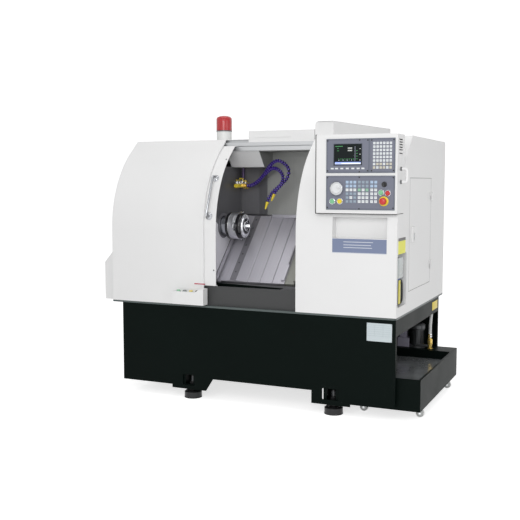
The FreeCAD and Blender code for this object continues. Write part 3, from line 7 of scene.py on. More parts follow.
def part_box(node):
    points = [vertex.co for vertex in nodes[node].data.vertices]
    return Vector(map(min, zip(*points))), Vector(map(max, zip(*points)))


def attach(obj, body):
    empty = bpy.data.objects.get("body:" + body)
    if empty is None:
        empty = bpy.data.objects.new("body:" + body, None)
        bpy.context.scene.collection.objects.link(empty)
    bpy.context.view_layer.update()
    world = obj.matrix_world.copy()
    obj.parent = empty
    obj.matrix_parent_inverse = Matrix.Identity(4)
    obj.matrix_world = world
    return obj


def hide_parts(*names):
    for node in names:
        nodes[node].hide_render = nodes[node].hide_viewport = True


# Slant-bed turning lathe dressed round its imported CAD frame. Blender works in metres; the sizes and places
# written here are millimetres from the cabinet's right side, its front and the floor, with Y to the back.
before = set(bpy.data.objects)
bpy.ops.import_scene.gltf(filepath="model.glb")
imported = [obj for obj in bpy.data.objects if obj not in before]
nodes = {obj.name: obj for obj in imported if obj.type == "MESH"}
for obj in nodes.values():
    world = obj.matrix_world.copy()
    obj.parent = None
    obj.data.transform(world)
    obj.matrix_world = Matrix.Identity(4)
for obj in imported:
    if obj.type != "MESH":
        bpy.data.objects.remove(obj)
scene = bpy.context.scene


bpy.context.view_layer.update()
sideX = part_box("base_frame")[1].x
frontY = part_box("deck_plate")[0].y


def at(x, y, z):  # right of the cabinet's side, behind its front, above the floor
    return Vector((sideX + x / 1000, frontY + y / 1000, z / 1000))


# Finishes: colour, roughness, then what departs from the plain satin of material()
brushed = dict(bump=0.03, tone=0.05)
polished = dict(bump=0.0, tone=0.01, grip=0.02)
machined = dict(bump=0.0, tone=0.02, edge=0, grip=0.03)
liner = dict(streaks=(160, 160, 3), bump=0.02)
glossy = dict(coat=0.3, bump=0.02)
keyTop = dict(bump=0.02, edge=0)
lit = dict(bump=0.0, edge=0)
finishes = {
    "whitePaint": ((0.79, 0.79, 0.79), 0.38, dict(coat=0.12, bump=0.03, tone=0.012, gloss=0.35)),
    "blackPaint": ((0.003, 0.006, 0.005), 0.42, dict(bump=0.05, tone=0.1, gloss=0.04)),
    "deckPaint": ((0.09, 0.11, 0.108), 0.4, dict(bump=0.04, gloss=0.3)),
    "ironPaint": ((0.29, 0.295, 0.265), 0.45, dict(bump=0.08)),
    "sillPaint": ((0.062, 0.063, 0.064), 0.45, dict(bump=0.04, gloss=0.2)),
    "panelPaint": ((0.155, 0.165, 0.215), 0.42, dict(bump=0.05, tone=0.03)),
    "turnedSteel": ((0.56, 0.58, 0.61), 0.2, dict(metallic=1.0, streaks=(900, 2, 2), bump=0.05, tone=0.12)),
    "darkSteel": ((0.09, 0.095, 0.10), 0.38, dict(metallic=0.4, bump=0.05)),
    "footBlack": ((0.014, 0.014, 0.015), 0.3, dict(metallic=0.3, bump=0.03)),
    "stainless": ((0.50, 0.49, 0.54), 0.36, dict(brushed, metallic=0.4, streaks=(160, 3, 3))),
    "stripSteel": ((0.23, 0.225, 0.25), 0.4, dict(brushed, metallic=0.4, streaks=(160, 3, 3))),
    "alloy": ((0.50, 0.51, 0.52), 0.4, dict(metallic=0.9, streaks=(3, 200, 200), bump=0.03)),
    "zincPale": ((0.62, 0.64, 0.63), 0.35, dict(keyTop, metallic=0.5)),
    "chuckBlack": ((0.012, 0.012, 0.015), 0.2, dict(machined, metallic=0.3, coat=0.3)),
    "chuckBright": ((0.86, 0.87, 0.90), 0.3, dict(machined, metallic=1.0)),
    # Three copies of the liner's steel in painted light and shade: the first darker for the shade under the
    # hood, the second lighter where light falls on the liner's right part, the third near-white for the lit
    # sloped ceiling
    "linerSteelShaded": ((0.15, 0.15, 0.16), 0.34, dict(liner, metallic=0.3, tone=0.06, grip=0.04)),
    "linerLitPale": ((0.28, 0.285, 0.275), 0.36, dict(liner, metallic=0.3, tone=0.05, grip=0.04)),
    "linerLitWhite": ((0.80, 0.80, 0.80), 0.4, dict(liner, metallic=0.1, grip=0.04)),
    # painted light and reflection: a near-white colour for the polished stainless left wall, standing for the
    # light and reflections on it
    "wallSteelLit": ((0.90, 0.89, 0.94), 0.5, liner),
    "chrome": ((0.78, 0.79, 0.81), 0.07, dict(polished, metallic=1.0)),
    "chromeSoft": ((0.70, 0.70, 0.72), 0.25, dict(polished, metallic=0.8, edge=0)),
    "gripChrome": ((0.40, 0.41, 0.43), 0.12, dict(polished, metallic=1.0, edge=0)),
    "brass": ((0.80, 0.58, 0.16), 0.25, dict(keyTop, metallic=0.75)),
    "keyPlastic": ((0.42, 0.45, 0.47), 0.5, dict(bump=0.02, edge=0.0006)),
    "blackPlastic": ((0.015, 0.015, 0.017), 0.38, dict(bump=0.04)),
    "redPlastic": ((0.55, 0.015, 0.015), 0.28, glossy),
    "greenPlastic": ((0.20, 0.52, 0.28), 0.28, glossy),
    "yellowPlastic": ((0.84, 0.62, 0.02), 0.32, glossy),
    "whitePlastic": ((0.72, 0.73, 0.72), 0.4, dict(bump=0.03)),
    "domePlastic": ((0.52, 0.006, 0.012), 0.1, dict(coat=0.6, bump=0.0, tone=0.1, alpha=0.82)),
    "clearPane": ((0.7, 0.78, 0.78), 0.05, dict(bump=0.0, alpha=0.35)),
    "beltRubber": ((0.012, 0.012, 0.012), 0.7, dict(bump=0.1)),
    "wiperRubber": ((0.42, 0.42, 0.45), 0.5, dict(bump=0.02)),
    "oilHoseBlack": ((0.02, 0.02, 0.022), 0.4, dict(bump=0.04)),
    "hosePlastic": ((0.045, 0.012, 0.27), 0.14, dict(lit, coat=1.0)),
    # painted shade: the necks between the beads take a darker copy of the hose plastic, for the shade in
    # those creases
    "hoseNeckShade": ((0.006, 0.002, 0.035), 0.6, dict(lit, gloss=0.1)),
    "nozzleYellow": ((0.86, 0.66, 0.04), 0.3, dict(lit, coat=0.3)),
    "feedPurple": ((0.07, 0.03, 0.13), 0.35, dict(coat=0.2)),
    "wheelPale": ((0.70, 0.71, 0.72), 0.3, dict(metallic=0.25, coat=0.3, bump=0.02, edge=0.0006)),
    "keyWhite": ((0.74, 0.77, 0.78), 0.45, keyTop),
    "keyBlue": ((0.40, 0.53, 0.70), 0.45, keyTop),
    "keyGrey": ((0.26, 0.33, 0.40), 0.45, keyTop),
    "keyCream": ((0.62, 0.58, 0.46), 0.45, keyTop),
    "keyGreen": ((0.26, 0.50, 0.34), 0.45, keyTop),
    "keyMark": ((0.42, 0.46, 0.52), 0.5, lit),
    "panelLine": ((0.06, 0.08, 0.11), 0.5, dict(bump=0.0)),
    "screenFrame": ((0.05, 0.065, 0.09), 0.4, dict(bump=0.02)),
    "screenGlass": ((0.004, 0.008, 0.008), 0.35, dict(lit, tone=0.0, gloss=0.15)),
    "screenGreen": ((0.04, 0.20, 0.06), 0.4, dict(lit, glow=(0.12, 0.7, 0.25, 0.2))),
    "screenWhite": ((0.5, 0.52, 0.5), 0.4, dict(lit, glow=(0.85, 0.9, 0.85, 0.25))),
    "screenBlue": ((0.2, 0.3, 0.75), 0.4, dict(lit, glow=(0.3, 0.42, 0.95, 0.5))),
    "screenPale": ((0.6, 0.64, 0.8), 0.4, dict(lit, glow=(0.7, 0.75, 0.95, 0.5))),
    "plateMetal": ((0.50, 0.56, 0.58), 0.35, dict(metallic=0.3, bump=0.02, tone=0.05)),
    "ruleGrey": ((0.30, 0.36, 0.40), 0.5, dict(bump=0.0)),
    "stripBlue": ((0.17, 0.21, 0.33), 0.35, dict(coat=0.2, bump=0.0)),
    "stripWhite": ((0.60, 0.63, 0.70), 0.35, dict(coat=0.2, bump=0.0)),
    "fieldYellow": ((0.82, 0.62, 0.02), 0.4, dict(bump=0.0)),
    "fieldLemon": ((0.84, 0.82, 0.02), 0.4, dict(bump=0.0)),
    "fieldOil": ((0.74, 0.66, 0.05), 0.4, dict(bump=0.0)),
    "fieldRed": ((0.45, 0.02, 0.06), 0.4, dict(bump=0.0)),
    "clearBezel": ((0.55, 0.62, 0.60), 0.12, dict(coat=0.6, bump=0.0, alpha=0.8)),
    "boxGrey": ((0.10, 0.11, 0.12), 0.35, {}),
    "lampGlass": ((0.9, 0.35, 0.3), 0.2, dict(bump=0.0, glow=(0.9, 0.1, 0.05, 0.4))),
    "tankClear": ((0.62, 0.68, 0.68), 0.22, dict(bump=0.02, alpha=0.75, coat=0.2)),
    "oilTint": ((0.42, 0.36, 0.16), 0.2, dict(bump=0.0)),
    "pumpBlue": ((0.05, 0.09, 0.28), 0.35, dict(bump=0.05)),
    "gearGrey": ((0.10, 0.105, 0.11), 0.45, dict(bump=0.03)),
    "gearPale": ((0.55, 0.56, 0.54), 0.45, dict(bump=0.03)),
    "gearBlue": ((0.05, 0.10, 0.30), 0.4, dict(bump=0.02)),
    "boxLilac": ((0.42, 0.40, 0.50), 0.4, dict(bump=0.04)),
    # painted sheen: the wet film's pale colour and strong blotchy tone stand in for the highlights on it
    "wetTray": ((0.36, 0.38, 0.39), 0.18, dict(metallic=0.4, bump=0.8, tone=0.45, peel=22.0)),
    "paleFloor": ((0.85, 0.85, 0.85), 0.9, dict(lit, tone=0.0, gloss=0.1, glow=(1, 1, 1, 0))),
}
for i in range(4):  # each caster's hub has its own
    finishes["hubGrey" + str(i + 1)] = ((0.60, 0.61, 0.61), 0.5, dict(bump=0.02))

grain = {"peel": 900.0, "peelDetail": 2.0, "broad": 3.0, "broadDetail": 4.0, "streaks": (2.0, 300.0, 300.0),
         "streakDetail": 6.0, "relief": 0.001, "bevelSamples": 4, "coatRoughness": 0.08, "smoothest": 0.02}


def addNode(tree, kind, inputs=None, **settings):
    node = tree.nodes.new("ShaderNode" + kind)
    for label, value in settings.items():
        setattr(node, label, value)
    for label, value in (inputs or {}).items():
        node.inputs[label].default_value = value
    return node


def newGroup(name, inputs):
    group = bpy.data.node_groups.new(name, "ShaderNodeTree")
    for label, value in inputs.items():
        socket = group.interface.new_socket(name=label, in_out="INPUT", socket_type="NodeSocketFloat")
        socket.default_value = value
    for label in ("Height", "Tone"):
        group.interface.new_socket(name=label, in_out="OUTPUT", socket_type="NodeSocketFloat")
    return group, group.nodes.new("NodeGroupInput"), group.nodes.new("NodeGroupOutput"), group.links.new


def paintGroup():  # a fine orange peel and a broad uneven tone
    group, take, give, link = newGroup("sprayedPaint", {"Scale": grain["peel"], "Broad": grain["broad"]})
    place = addNode(group, "TexCoord")
    for scale, detail, result in (("Scale", "peelDetail", "Height"), ("Broad", "broadDetail", "Tone")):
        noise = addNode(group, "TexNoise", {"Detail": grain[detail]})
        link(place.outputs["Object"], noise.inputs["Vector"])
        link(take.outputs[scale], noise.inputs["Scale"])
        link(noise.outputs["Fac"], give.inputs[result])
    return group


def brushGroup():  # long thin streaks across one axis
    along = {"Along " + axis: value for axis, value in zip("XYZ", grain["streaks"])}
    group, take, give, link = newGroup("brushedStreaks", along)
    place = addNode(group, "TexCoord")
    stretch = addNode(group, "CombineXYZ")
    scaled = addNode(group, "VectorMath", operation="MULTIPLY")
    streak = addNode(group, "TexNoise", {"Scale": 1.0, "Detail": grain["streakDetail"]})
    for axis in "XYZ":
        link(take.outputs["Along " + axis], stretch.inputs[axis])
    link(place.outputs["Object"], scaled.inputs[0])
    link(stretch.outputs[0], scaled.inputs[1])
    link(scaled.outputs[0], streak.inputs["Vector"])
    for result in ("Height", "Tone"):
        link(streak.outputs["Fac"], give.inputs[result])
    return group


sprayedPaint = paintGroup()
brushedStreaks = brushGroup()


# Principled surface with a grain, an uneven tone and softened edges
def material(name, colour, roughness, metallic=0.0, coat=0.0, bump=0.02, tone=0.04, peel=grain["peel"],
             streaks=None, alpha=1.0, gloss=0.5, glow=None, edge=0.0012, grip=0.08):
    mat = bpy.data.materials.new(name)
    mat.use_nodes = True
    tree = mat.node_tree
    link = tree.links.new
    shader = tree.nodes["Principled BSDF"]
    own = {"Along " + axis: value for axis, value in zip("XYZ", streaks)} if streaks else {"Scale": peel}
    texture = addNode(tree, "Group", own, node_tree=brushedStreaks if streaks else sprayedPaint)
    dark = [c * (1 - tone * 2) for c in colour] + [1]
    light = [min(1, c * (1 + tone)) for c in colour] + [1]
    shade = addNode(tree, "Mix", {"A": dark, "B": light}, data_type="RGBA")
    link(texture.outputs["Tone"], shade.inputs["Factor"])
    link(shade.outputs["Result"], shader.inputs["Base Color"])
    spread = addNode(tree, "MapRange", {"To Min": max(grain["smoothest"], roughness - grip),
                                        "To Max": min(1.0, roughness + grip)})
    link(texture.outputs["Tone"], spread.inputs["Value"])
    link(spread.outputs["Result"], shader.inputs["Roughness"])
    relief = addNode(tree, "Bump", {"Strength": bump, "Distance": grain["relief"]})
    link(texture.outputs["Height"], relief.inputs["Height"])
    if edge:
        soft = addNode(tree, "Bevel", {"Radius": edge}, samples=grain["bevelSamples"])
        link(soft.outputs["Normal"], relief.inputs["Normal"])
    link(relief.outputs["Normal"], shader.inputs["Normal"])
    values = {"Metallic": metallic, "Alpha": alpha, "Specular IOR Level": gloss, "Coat Weight": coat,
              "Coat Roughness": grain["coatRoughness"]}
    if glow:
        values.update({"Emission Color": (*glow[:3], 1), "Emission Strength": glow[3]})
    for label, value in values.items():
        shader.inputs[label].default_value = value
    return mat


made = {}


def finish(name):
    if name not in made:
        colour, roughness, rest = finishes[name]
        made[name] = material(name, colour, roughness, **rest)
    return made[name]


nodeLook = {
    "whitePaint": ["left_hood", "rear_cover", "right_front_cover", "right_side_panel", "side_door",
                   "door_panel", "control_box", "roof_duct", "button_box"],
    "blackPaint": ["base_frame", "coolant_tank"],
    "deckPaint": ["deck_plate"],
    "ironPaint": ["bed_casting", "headstock", "saddle", "cross_slide"],
    "darkSteel": ["drive_motors", "coolant_pump"],
    "footBlack": ["levelling_feet"],
    "sillPaint": ["chute_sill"],
    "turnedSteel": ["spindle_bearings", "spindle", "spindle_pulley", "motor_pulley", "chuck", "turret_disc",
                    "ball_screw"],
    "stainless": ["fixed_way_cover", "way_cover_1", "way_cover_2", "way_cover_3"],
    "linerSteelShaded": ["work_area_liner"],
    "chrome": ["collet"],
    "gripChrome": ["door_handle"],
    "alloy": ["door_rail"],
    "panelPaint": ["control_panels"],
    "keyPlastic": ["panel_keys"],
    "wheelPale": ["handwheel"],
    "blackPlastic": ["key_switch"],
    "redPlastic": ["emergency_stop", "feed_hold_button"],
    "greenPlastic": ["cycle_start_button", "power_on_button"],
    "yellowPlastic": ["power_off_button"],
    "whitePlastic": ["beacon_base", "oil_pump", "electrical_plate", "caster_wheel_1", "caster_wheel_2",
                     "caster_wheel_3", "caster_wheel_4", "tank_hose"],
    "domePlastic": ["beacon_dome"],
    "beltRubber": ["drive_belt"],
    "hosePlastic": ["segmented_hoses"],
    "clearPane": ["door_window"],
    "brass": ["coolant_manifold", "tank_valve_lever", "manifold_lever_1", "manifold_lever_2"],
}
shading = {"weld": 0.00002, "nodeBend": 30.0, "pieceBend": 35}  # metres, degrees


def carry(name, look):  # a CAD node in its finish, smooth on curves and sharp on edges
    node = nodes[name]
    node.data.materials.clear()
    node.data.materials.append(finish(look))
    node.data.shade_smooth()
    weld = node.modifiers.new("weld", "WELD")
    weld.merge_threshold = shading["weld"]
    split = node.modifiers.new("split", "EDGE_SPLIT")
    split.split_angle = math.radians(shading["nodeBend"])


for look, names in nodeLook.items():
    for name in names:
        carry(name, look)
print("carried nodes", sum(len(names) for names in nodeLook.values()))

studio = {
    "floorFront": -16, "bendAt": 7, "bend": 4, "backdropTop": 16, "halfWidth": 24,  # metres
    "floorLift": 0.7,
    "worldLevel": (0.5, 1.0),  # on the lathe, and as seen behind it
    "lamps": {"keyLamp": ((1.5, -6.0, 2.9), (0, 0, 0.95), 3.4, 150),  # place, target, width, watts
              "fillLamp": ((5.2, -2.2, 3.0), (0.4, 0, 1.0), 2.6, 34),
              "topLamp": ((0.0, -0.6, 5.4), (0, 0, 0.9), 3.6, 45)},
}
viewpoint = {"place": (1274.9, -4786.3, 1434.5), "lens": 57.94, "sensor": 36.0, "left": 24.245, "down": 5.306}


def seenRays(tree):  # camera, glossy and transmission rays together: what shows the pale surround
    light = addNode(tree, "LightPath")
    total = light.outputs["Is Camera Ray"]
    for label in ("Is Glossy Ray", "Is Transmission Ray"):
        join = addNode(tree, "Math", operation="MAXIMUM")
        tree.links.new(total, join.inputs[0])
        tree.links.new(light.outputs[label], join.inputs[1])
        total = join.outputs[0]
    return total


def addFloor():  # a pale floor that bends up into a backdrop
    mesh = bpy.data.meshes.new("floor")
    bend, bendAt = studio["bend"], studio["bendAt"]
    arc = [math.radians(5 * i) for i in range(19)]
    profile = [(studio["floorFront"], 0)]
    profile += [(bendAt + bend * math.sin(a), bend - bend * math.cos(a)) for a in arc]
    profile.append((bendAt + bend, studio["backdropTop"]))
    count = len(profile)
    places = [(x, y, z) for x in (-studio["halfWidth"], studio["halfWidth"]) for y, z in profile]
    mesh.from_pydata(places, [], [(i, i + 1, count + i + 1, count + i) for i in range(count - 1)])
    mesh.shade_smooth()
    floor = bpy.data.objects.new("floor", mesh)
    scene.collection.objects.link(floor)
    pale = finish("paleFloor")
    tree = pale.node_tree
    lift = addNode(tree, "Math", {1: studio["floorLift"]}, operation="MULTIPLY")
    tree.links.new(seenRays(tree), lift.inputs[0])
    tree.links.new(lift.outputs[0], tree.nodes["Principled BSDF"].inputs["Emission Strength"])
    mesh.materials.append(pale)


def addLight():  # a white surround and soft lamps
    world = bpy.data.worlds.new("studio")
    scene.world = world
    world.use_nodes = True
    tree = world.node_tree
    background = tree.nodes["Background"]
    background.inputs["Color"].default_value = (1, 1, 1, 1)
    level = addNode(tree, "MapRange", dict(zip(("To Min", "To Max"), studio["worldLevel"])))
    tree.links.new(seenRays(tree), level.inputs["Value"])
    tree.links.new(level.outputs["Result"], background.inputs["Strength"])
    for label, (place, target, wide, power) in studio["lamps"].items():
        lamp = bpy.data.lights.new(label, "AREA")
        lamp.energy = power
        lamp.size = wide
        holder = bpy.data.objects.new(label, lamp)
        holder.location = place
        holder.rotation_euler = (Vector(target) - Vector(place)).to_track_quat("-Z", "Y").to_euler()
        scene.collection.objects.link(holder)
    scene.view_settings.view_transform = "Standard"


def addCamera():  # the photograph's own viewpoint, solved from the cabinet's edges
    lens = bpy.data.cameras.new("photoCamera")
    lens.lens = viewpoint["lens"]
    lens.sensor_width = viewpoint["sensor"]
    lens.clip_end = 100
    camera = bpy.data.objects.new("photoCamera", lens)
    camera.location = at(*viewpoint["place"])
    turn = Matrix.Rotation(math.radians(viewpoint["left"]), 3, "Z")
    tilt = Matrix.Rotation(math.radians(90 - viewpoint["down"]), 3, "X")
    camera.rotation_euler = (turn @ tilt).to_euler()
    scene.collection.objects.link(camera)
    scene.camera = camera


addFloor()
addLight()
addCamera()
print("stage ready")


def addBox(bm, places, slot=0):  # eight places, the last coordinate changing fastest
    corners = [bm.verts.new(place) for place in places]
    for order in ((0, 1, 3, 2), (4, 6, 7, 5), (0, 4, 5, 1), (2, 3, 7, 6), (0, 2, 6, 4), (1, 5, 7, 3)):
        bm.faces.new([corners[i] for i in order]).material_index = slot


def addBlock(bm, x0, x1, y0, y1, z0, z1, slot=0):
    addBox(bm, [at(x, y, z) for x in (x0, x1) for y in (y0, y1) for z in (z0, z1)], slot)


def addBorder(bm, x0, x1, z0, z1, wide, y0, y1):  # four strips inside an upright rectangle
    for a, b, c, d in ((x0, x1, z0, z0 + wide), (x0, x1, z1 - wide, z1), (x0, x0 + wide, z0, z1),
                       (x1 - wide, x1, z0, z1)):
        addBlock(bm, a, b, y0, y1, c, d)


def addPrism(bm, corners, rise, slot=0):  # four corners in metres and how far they are drawn out
    low = [bm.verts.new(corner) for corner in corners]
    high = [bm.verts.new(corner + rise) for corner in corners]
    bm.faces.new(low[::-1]).material_index = slot
    bm.faces.new(high).material_index = slot
    for k in range(4):
        bm.faces.new([low[k], low[(k + 1) % 4], high[(k + 1) % 4], high[k]]).material_index = slot


def spoke(centre, out, side, inner, outer, half):  # corners of a flat bar that points away from a centre
    ends = ((inner, -half), (inner, half), (outer, half), (outer, -half))
    return [centre + out * (reach / 1000) + side * (across / 1000) for reach, across in ends]


def addFins(bm, foot, count, inner, outer, half, tall):  # upright ribs round a motor
    for i in range(count):
        turn = 2 * math.pi * i / count
        out = Vector((math.cos(turn), math.sin(turn), 0))
        side = Vector((-out.y, out.x, 0))
        addPrism(bm, spoke(foot, out, side, inner, outer, half), Vector((0, 0, tall / 1000)))


def axisFrame(along):
    along = Vector(along).normalized()
    side = Vector((0, 0, 1)) if abs(along.z) < 0.9 else Vector((1, 0, 0))
    side = (side - along * side.dot(along)).normalized()
    return along, side, along.cross(side)


def circle(steps):
    return [2 * math.pi * i / steps for i in range(steps)]


def addTurned(bm, centre, along, outline, steps=32, slot=0):  # outline of (distance, radius) pairs
    along, side, other = axisFrame(along)
    rings = []
    for reach, radius in outline:
        middle = centre + along * (reach / 1000)
        if radius <= 0:
            rings.append([bm.verts.new(middle)])
            continue
        rings.append([bm.verts.new(middle + (side * math.cos(a) + other * math.sin(a)) * (radius / 1000))
                      for a in circle(steps)])
    for low, high in zip(rings, rings[1:]):
        for i in range(steps):
            j = (i + 1) % steps
            quad = [low[i % len(low)], low[j % len(low)], high[j % len(high)], high[i % len(high)]]
            corners = [v for k, v in enumerate(quad) if v not in quad[:k]]
            if len(corners) > 2:
                bm.faces.new(corners).material_index = slot


def joinRings(bm, rings, slot=0):
    for low, high in zip(rings, rings[1:]):
        for i in range(len(low)):
            j = (i + 1) % len(low)
            bm.faces.new([low[i], low[j], high[j], high[i]]).material_index = slot


def addTube(bm, path, radii, sides=16):  # round bar along places in metres, one radius or one for each place
    rings = []
    along, side, other = axisFrame(path[1] - path[0])
    for i, place in enumerate(path):
        heading = (path[min(i + 1, len(path) - 1)] - path[max(i - 1, 0)]).normalized()
        side = (side - heading * side.dot(heading)).normalized()
        other = heading.cross(side)
        wide = (radii[i] if isinstance(radii, tuple) else radii) / 1000
        rings.append([bm.verts.new(place + (side * math.cos(a) + other * math.sin(a)) * wide)
                      for a in circle(sides)])
    joinRings(bm, rings)
    bm.faces.new(rings[0][::-1])
    bm.faces.new(rings[-1])


def addHex(bm, centre, along, across, high):  # hexagon nut or head with turned-down corners
    corner = across * 0.577
    outline = [(0, 0), (0, corner), (high * 0.88, corner), (high, across * 0.5), (high, 0)]
    addTurned(bm, centre, along, outline, 6)


def addScrew(bm, centre, along, radius, high, slot=0):  # cap screw with its sunk socket
    shape = ((0, 0.98), (0.85, 1), (1, 0.88), (1, 0.52), (0.55, 0.5), (0.5, 0))
    addTurned(bm, centre, along, [(high * rise, radius * share) for rise, share in shape], 20, slot)


def smoothPath(places, each=8):  # a smooth curve through the places
    spread = [places[0] * 2 - places[1]] + list(places) + [places[-1] * 2 - places[-2]]
    out = []
    for a, b, c, d in zip(spread, spread[1:], spread[2:], spread[3:]):
        for t in [i / each for i in range(each)]:
            out.append(0.5 * ((2 * b) + (c - a) * t + (2 * a - 5 * b + 4 * c - d) * t * t
                              + (3 * b - a - 3 * c + d) * t ** 3))
    out.append(places[-1])
    return out


# A bmesh turned into a named object that rides on a body, or shows instead of CAD nodes
def piece(name, bm, looks, body="machine", bevel=0.0, instead=(), segments=2):
    mesh = bpy.data.meshes.new(name)
    bmesh.ops.recalc_face_normals(bm, faces=bm.faces)
    bm.to_mesh(mesh)
    bm.free()
    mesh.shade_smooth()
    for look in [looks] if isinstance(looks, str) else looks:
        mesh.materials.append(finish(look))
    obj = bpy.data.objects.new(name, mesh)
    scene.collection.objects.link(obj)
    bend = math.radians(shading["pieceBend"])
    if bevel:
        soft = obj.modifiers.new("bevel", "BEVEL")
        soft.width = bevel / 1000
        soft.segments = segments
        soft.limit_method = "ANGLE"
        soft.angle_limit = bend
    split = obj.modifiers.new("split", "EDGE_SPLIT")
    split.split_angle = bend
    if instead:
        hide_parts(*instead)
    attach(obj, body)


def pieceOf(name, add, items, looks, body="machine", **rest):  # one piece from one helper and its items
    bm = bmesh.new()
    for item in items:
        add(bm, *item)
    piece(name, bm, looks, body, **rest)


def turnedPiece(name, places, along, outline, looks, body="machine", steps=32):
    pieceOf(name, addTurned, [(place, along, outline, steps) for place in places], looks, body)


def paintFaces(name, look, low, high):  # another finish for the CAD faces whose middles lie in a box
    node = nodes[name]
    node.data.materials.append(finish(look))
    slot = len(node.data.materials) - 1
    a, b = at(*low), at(*high)
    for polygon in node.data.polygons:
        c = polygon.center
        if a.x <= c.x <= b.x and a.y <= c.y <= b.y and a.z <= c.z <= b.z:
            polygon.material_index = slot


toFront, toRight, toTop = (0, -1, 0), (1, 0, 0), (0, 0, 1)

panel = {
    "left": -432, "wide": 420, "high": 200, "upper": 1490, "lower": 1272, "face": -29,  # both plates
    # on the lower plate, from its corner
    "buttons": ((40, 49), (87, 50), (340, 102), (380, 99)),
    "stop": (356, 52), "key": (358, 150), "wheel": (68, 125),
    # on both plates, from their corners
    "screws": ((8, 12), (412, 12), (8, 190), (412, 190), (206, 192), (206, 6)),
    "seamScrews": ((256, 12), (280, 12), (256, 190), (280, 190)),
    "screw": (4.6, 1.6), "rim": 0.6, "rimWide": 2.4, "grooveInset": 7,
    "seams": ((262, 265.5, 0.3, 1492, 1688), (271, 272, 0.15, 1498, 1682)),  # between screen and keys
}
keyPad = {
    "rise": 2, "shoulder": ((0, 1.2), (0.9, 1.5), (1.0, 2.3)),  # share of the rise, and inset
    "soft": {"places": (27, 54, 87, 121, 155, 188, 217), "foot": 20, "cap": (21, 11.5)},
    "letters": {"left": 287, "foot": 22, "pitch": (19.8, 20.2), "cap": 16.5, "columns": 6, "rows": 8},
    "machine": {"foot": 40, "rise": 22.8, "cap": (19.5, 18.5),  # groups: left, pitch, rows of caps
                "groups": ((122, 23.6, ("ggg", "gwg", "ggg", "www", "bbb", "bbb")),
                           (197, 23.6, ("www", "www", "www", "nwn", "ggg", "ggg")),
                           (273, 24.0, ("ww", "ww", "ww", "ww", "bb", "bb")))},
    "slots": {"w": 0, "b": 1, "g": 2, "c": 3, "n": 4, "mark": 5},  # white, blue, grey, cream, green
    "mark": {"low": 0.44, "high": 0.52, "half": 0.16, "longer": 0.05, "tall": 0.13},  # shares of the cap
}


def onPanel(u, v, upper=False, y=0.0):
    return at(panel["left"] + u, panel["face"] + y, (panel["upper"] if upper else panel["lower"]) + v)


def addKey(bm, u, v, wide, high, upper, slot, marked=True):
    x = panel["left"] + u
    z = (panel["upper"] if upper else panel["lower"]) + v
    rings = []
    for reach, inset in keyPad["shoulder"]:
        y = panel["face"] - keyPad["rise"] * reach
        rings.append([bm.verts.new(at(px, y, pz)) for px, pz in (
            (x + inset, z + inset), (x + wide - inset, z + inset), (x + wide - inset, z + high - inset),
            (x + inset, z + high - inset))])
    joinRings(bm, rings, slot)
    bm.faces.new(rings[-1]).material_index = slot
    bm.faces.new(rings[0][::-1]).material_index = slot
    if marked:  # a plain bar whose length and height vary from key to key
        mark, middle, front = keyPad["mark"], x + wide / 2, panel["face"] - keyPad["rise"]
        foot = z + high * mark["high" if int(u + v) % 2 else "low"]
        half = wide * (mark["half"] + mark["longer"] * (int(u * 7 + v * 3) % 3))
        head, slot = foot + high * mark["tall"], keyPad["slots"]["mark"]
        addBlock(bm, middle - half, middle + half, front - 0.08, front + 0.4, foot, head, slot)


def keyCaps():
    bm = bmesh.new()
    soft, letters, machine, slots = (keyPad[part] for part in ("soft", "letters", "machine", "slots"))
    for u in soft["places"]:
        addKey(bm, u, soft["foot"], *soft["cap"], True, slots["w"], False)
    pitch, cap = letters["pitch"], letters["cap"]
    for row in range(letters["rows"]):
        for column in range(letters["columns"]):
            slot = slots["c"] if row < 2 and (column + row) % 3 != 1 else slots["w"]
            u, v = letters["left"] + column * pitch[0], letters["foot"] + row * pitch[1]
            addKey(bm, u, v, cap, cap, True, slot)
    for left, step, rows in machine["groups"]:
        for row, look in enumerate(rows):
            for column, letter in enumerate(look):
                u, v = left + column * step, machine["foot"] + row * machine["rise"]
                addKey(bm, u, v, *machine["cap"], False, slots[letter])
    looks = ["keyWhite", "keyBlue", "keyGrey", "keyCream", "keyGreen", "keyMark"]
    piece("keyCaps", bm, looks, instead=["panel_keys"])


display = {
    "glass": (-384.5, -213.5, 1536.5, 1658.5), "page": (-379, 1541), "front": -26.8,
    "frame": (-388, -210, 1533, 1662, 3, -29.8, -28.5),  # sides, foot, head, width, front and back
    # bars of the page: from left, to right, from foot, to head, finish; 1 green, 2 white, 3 blue, 4 pale
    "foot": ((0, 160, 0, 9, 4), (2, 40, 1.5, 7.5, 3), (0, 160, 9.6, 13, 3)),
    "head": ((2, 48, 104, 107.5, 1), (14, 22, 92, 95, 1), (14, 24, 78, 81, 1)),
    "values": (91, 77), "lines": range(20, 118, 13), "side": (30, 46, 62, 78), "marks": (22, 56, 88),
    "divider": (124, 124.8, 18, 106, 4),
}


def screen():
    bm = bmesh.new()
    x0, x1, z0, z1 = display["glass"]
    front = display["front"]
    addBlock(bm, x0, x1, front, front + 0.8, z0, z1)
    left, foot = display["page"]
    bars = list(display["foot"] + display["head"])
    bars += [(80 + k * 7, 85 + k * 7, v, v + 7, 2) for v in display["values"] for k in range(4)]
    for u in display["lines"]:
        bars.append((u, u + 8 - (u % 3), 30, 32.5, 1))
        bars.append((u + 2, u + 7, 23, 25.5, 1 if u % 2 else 4))
    bars += [(130, 141, v, v + 2.4, 1) for v in display["side"]]
    bars += [(152, 158, v, v + 4, 2) for v in display["marks"]]
    bars.append(display["divider"])
    for u0, u1, v0, v1, slot in bars:
        addBlock(bm, left + u0, left + u1, front - 0.15, front + 0.1, foot + v0, foot + v1, slot)
    piece("screen", bm, ["screenGlass", "screenGreen", "screenWhite", "screenBlue", "screenPale"])
    pieceOf("screenFrame", addBorder, [display["frame"]], "screenFrame", bevel=0.4)


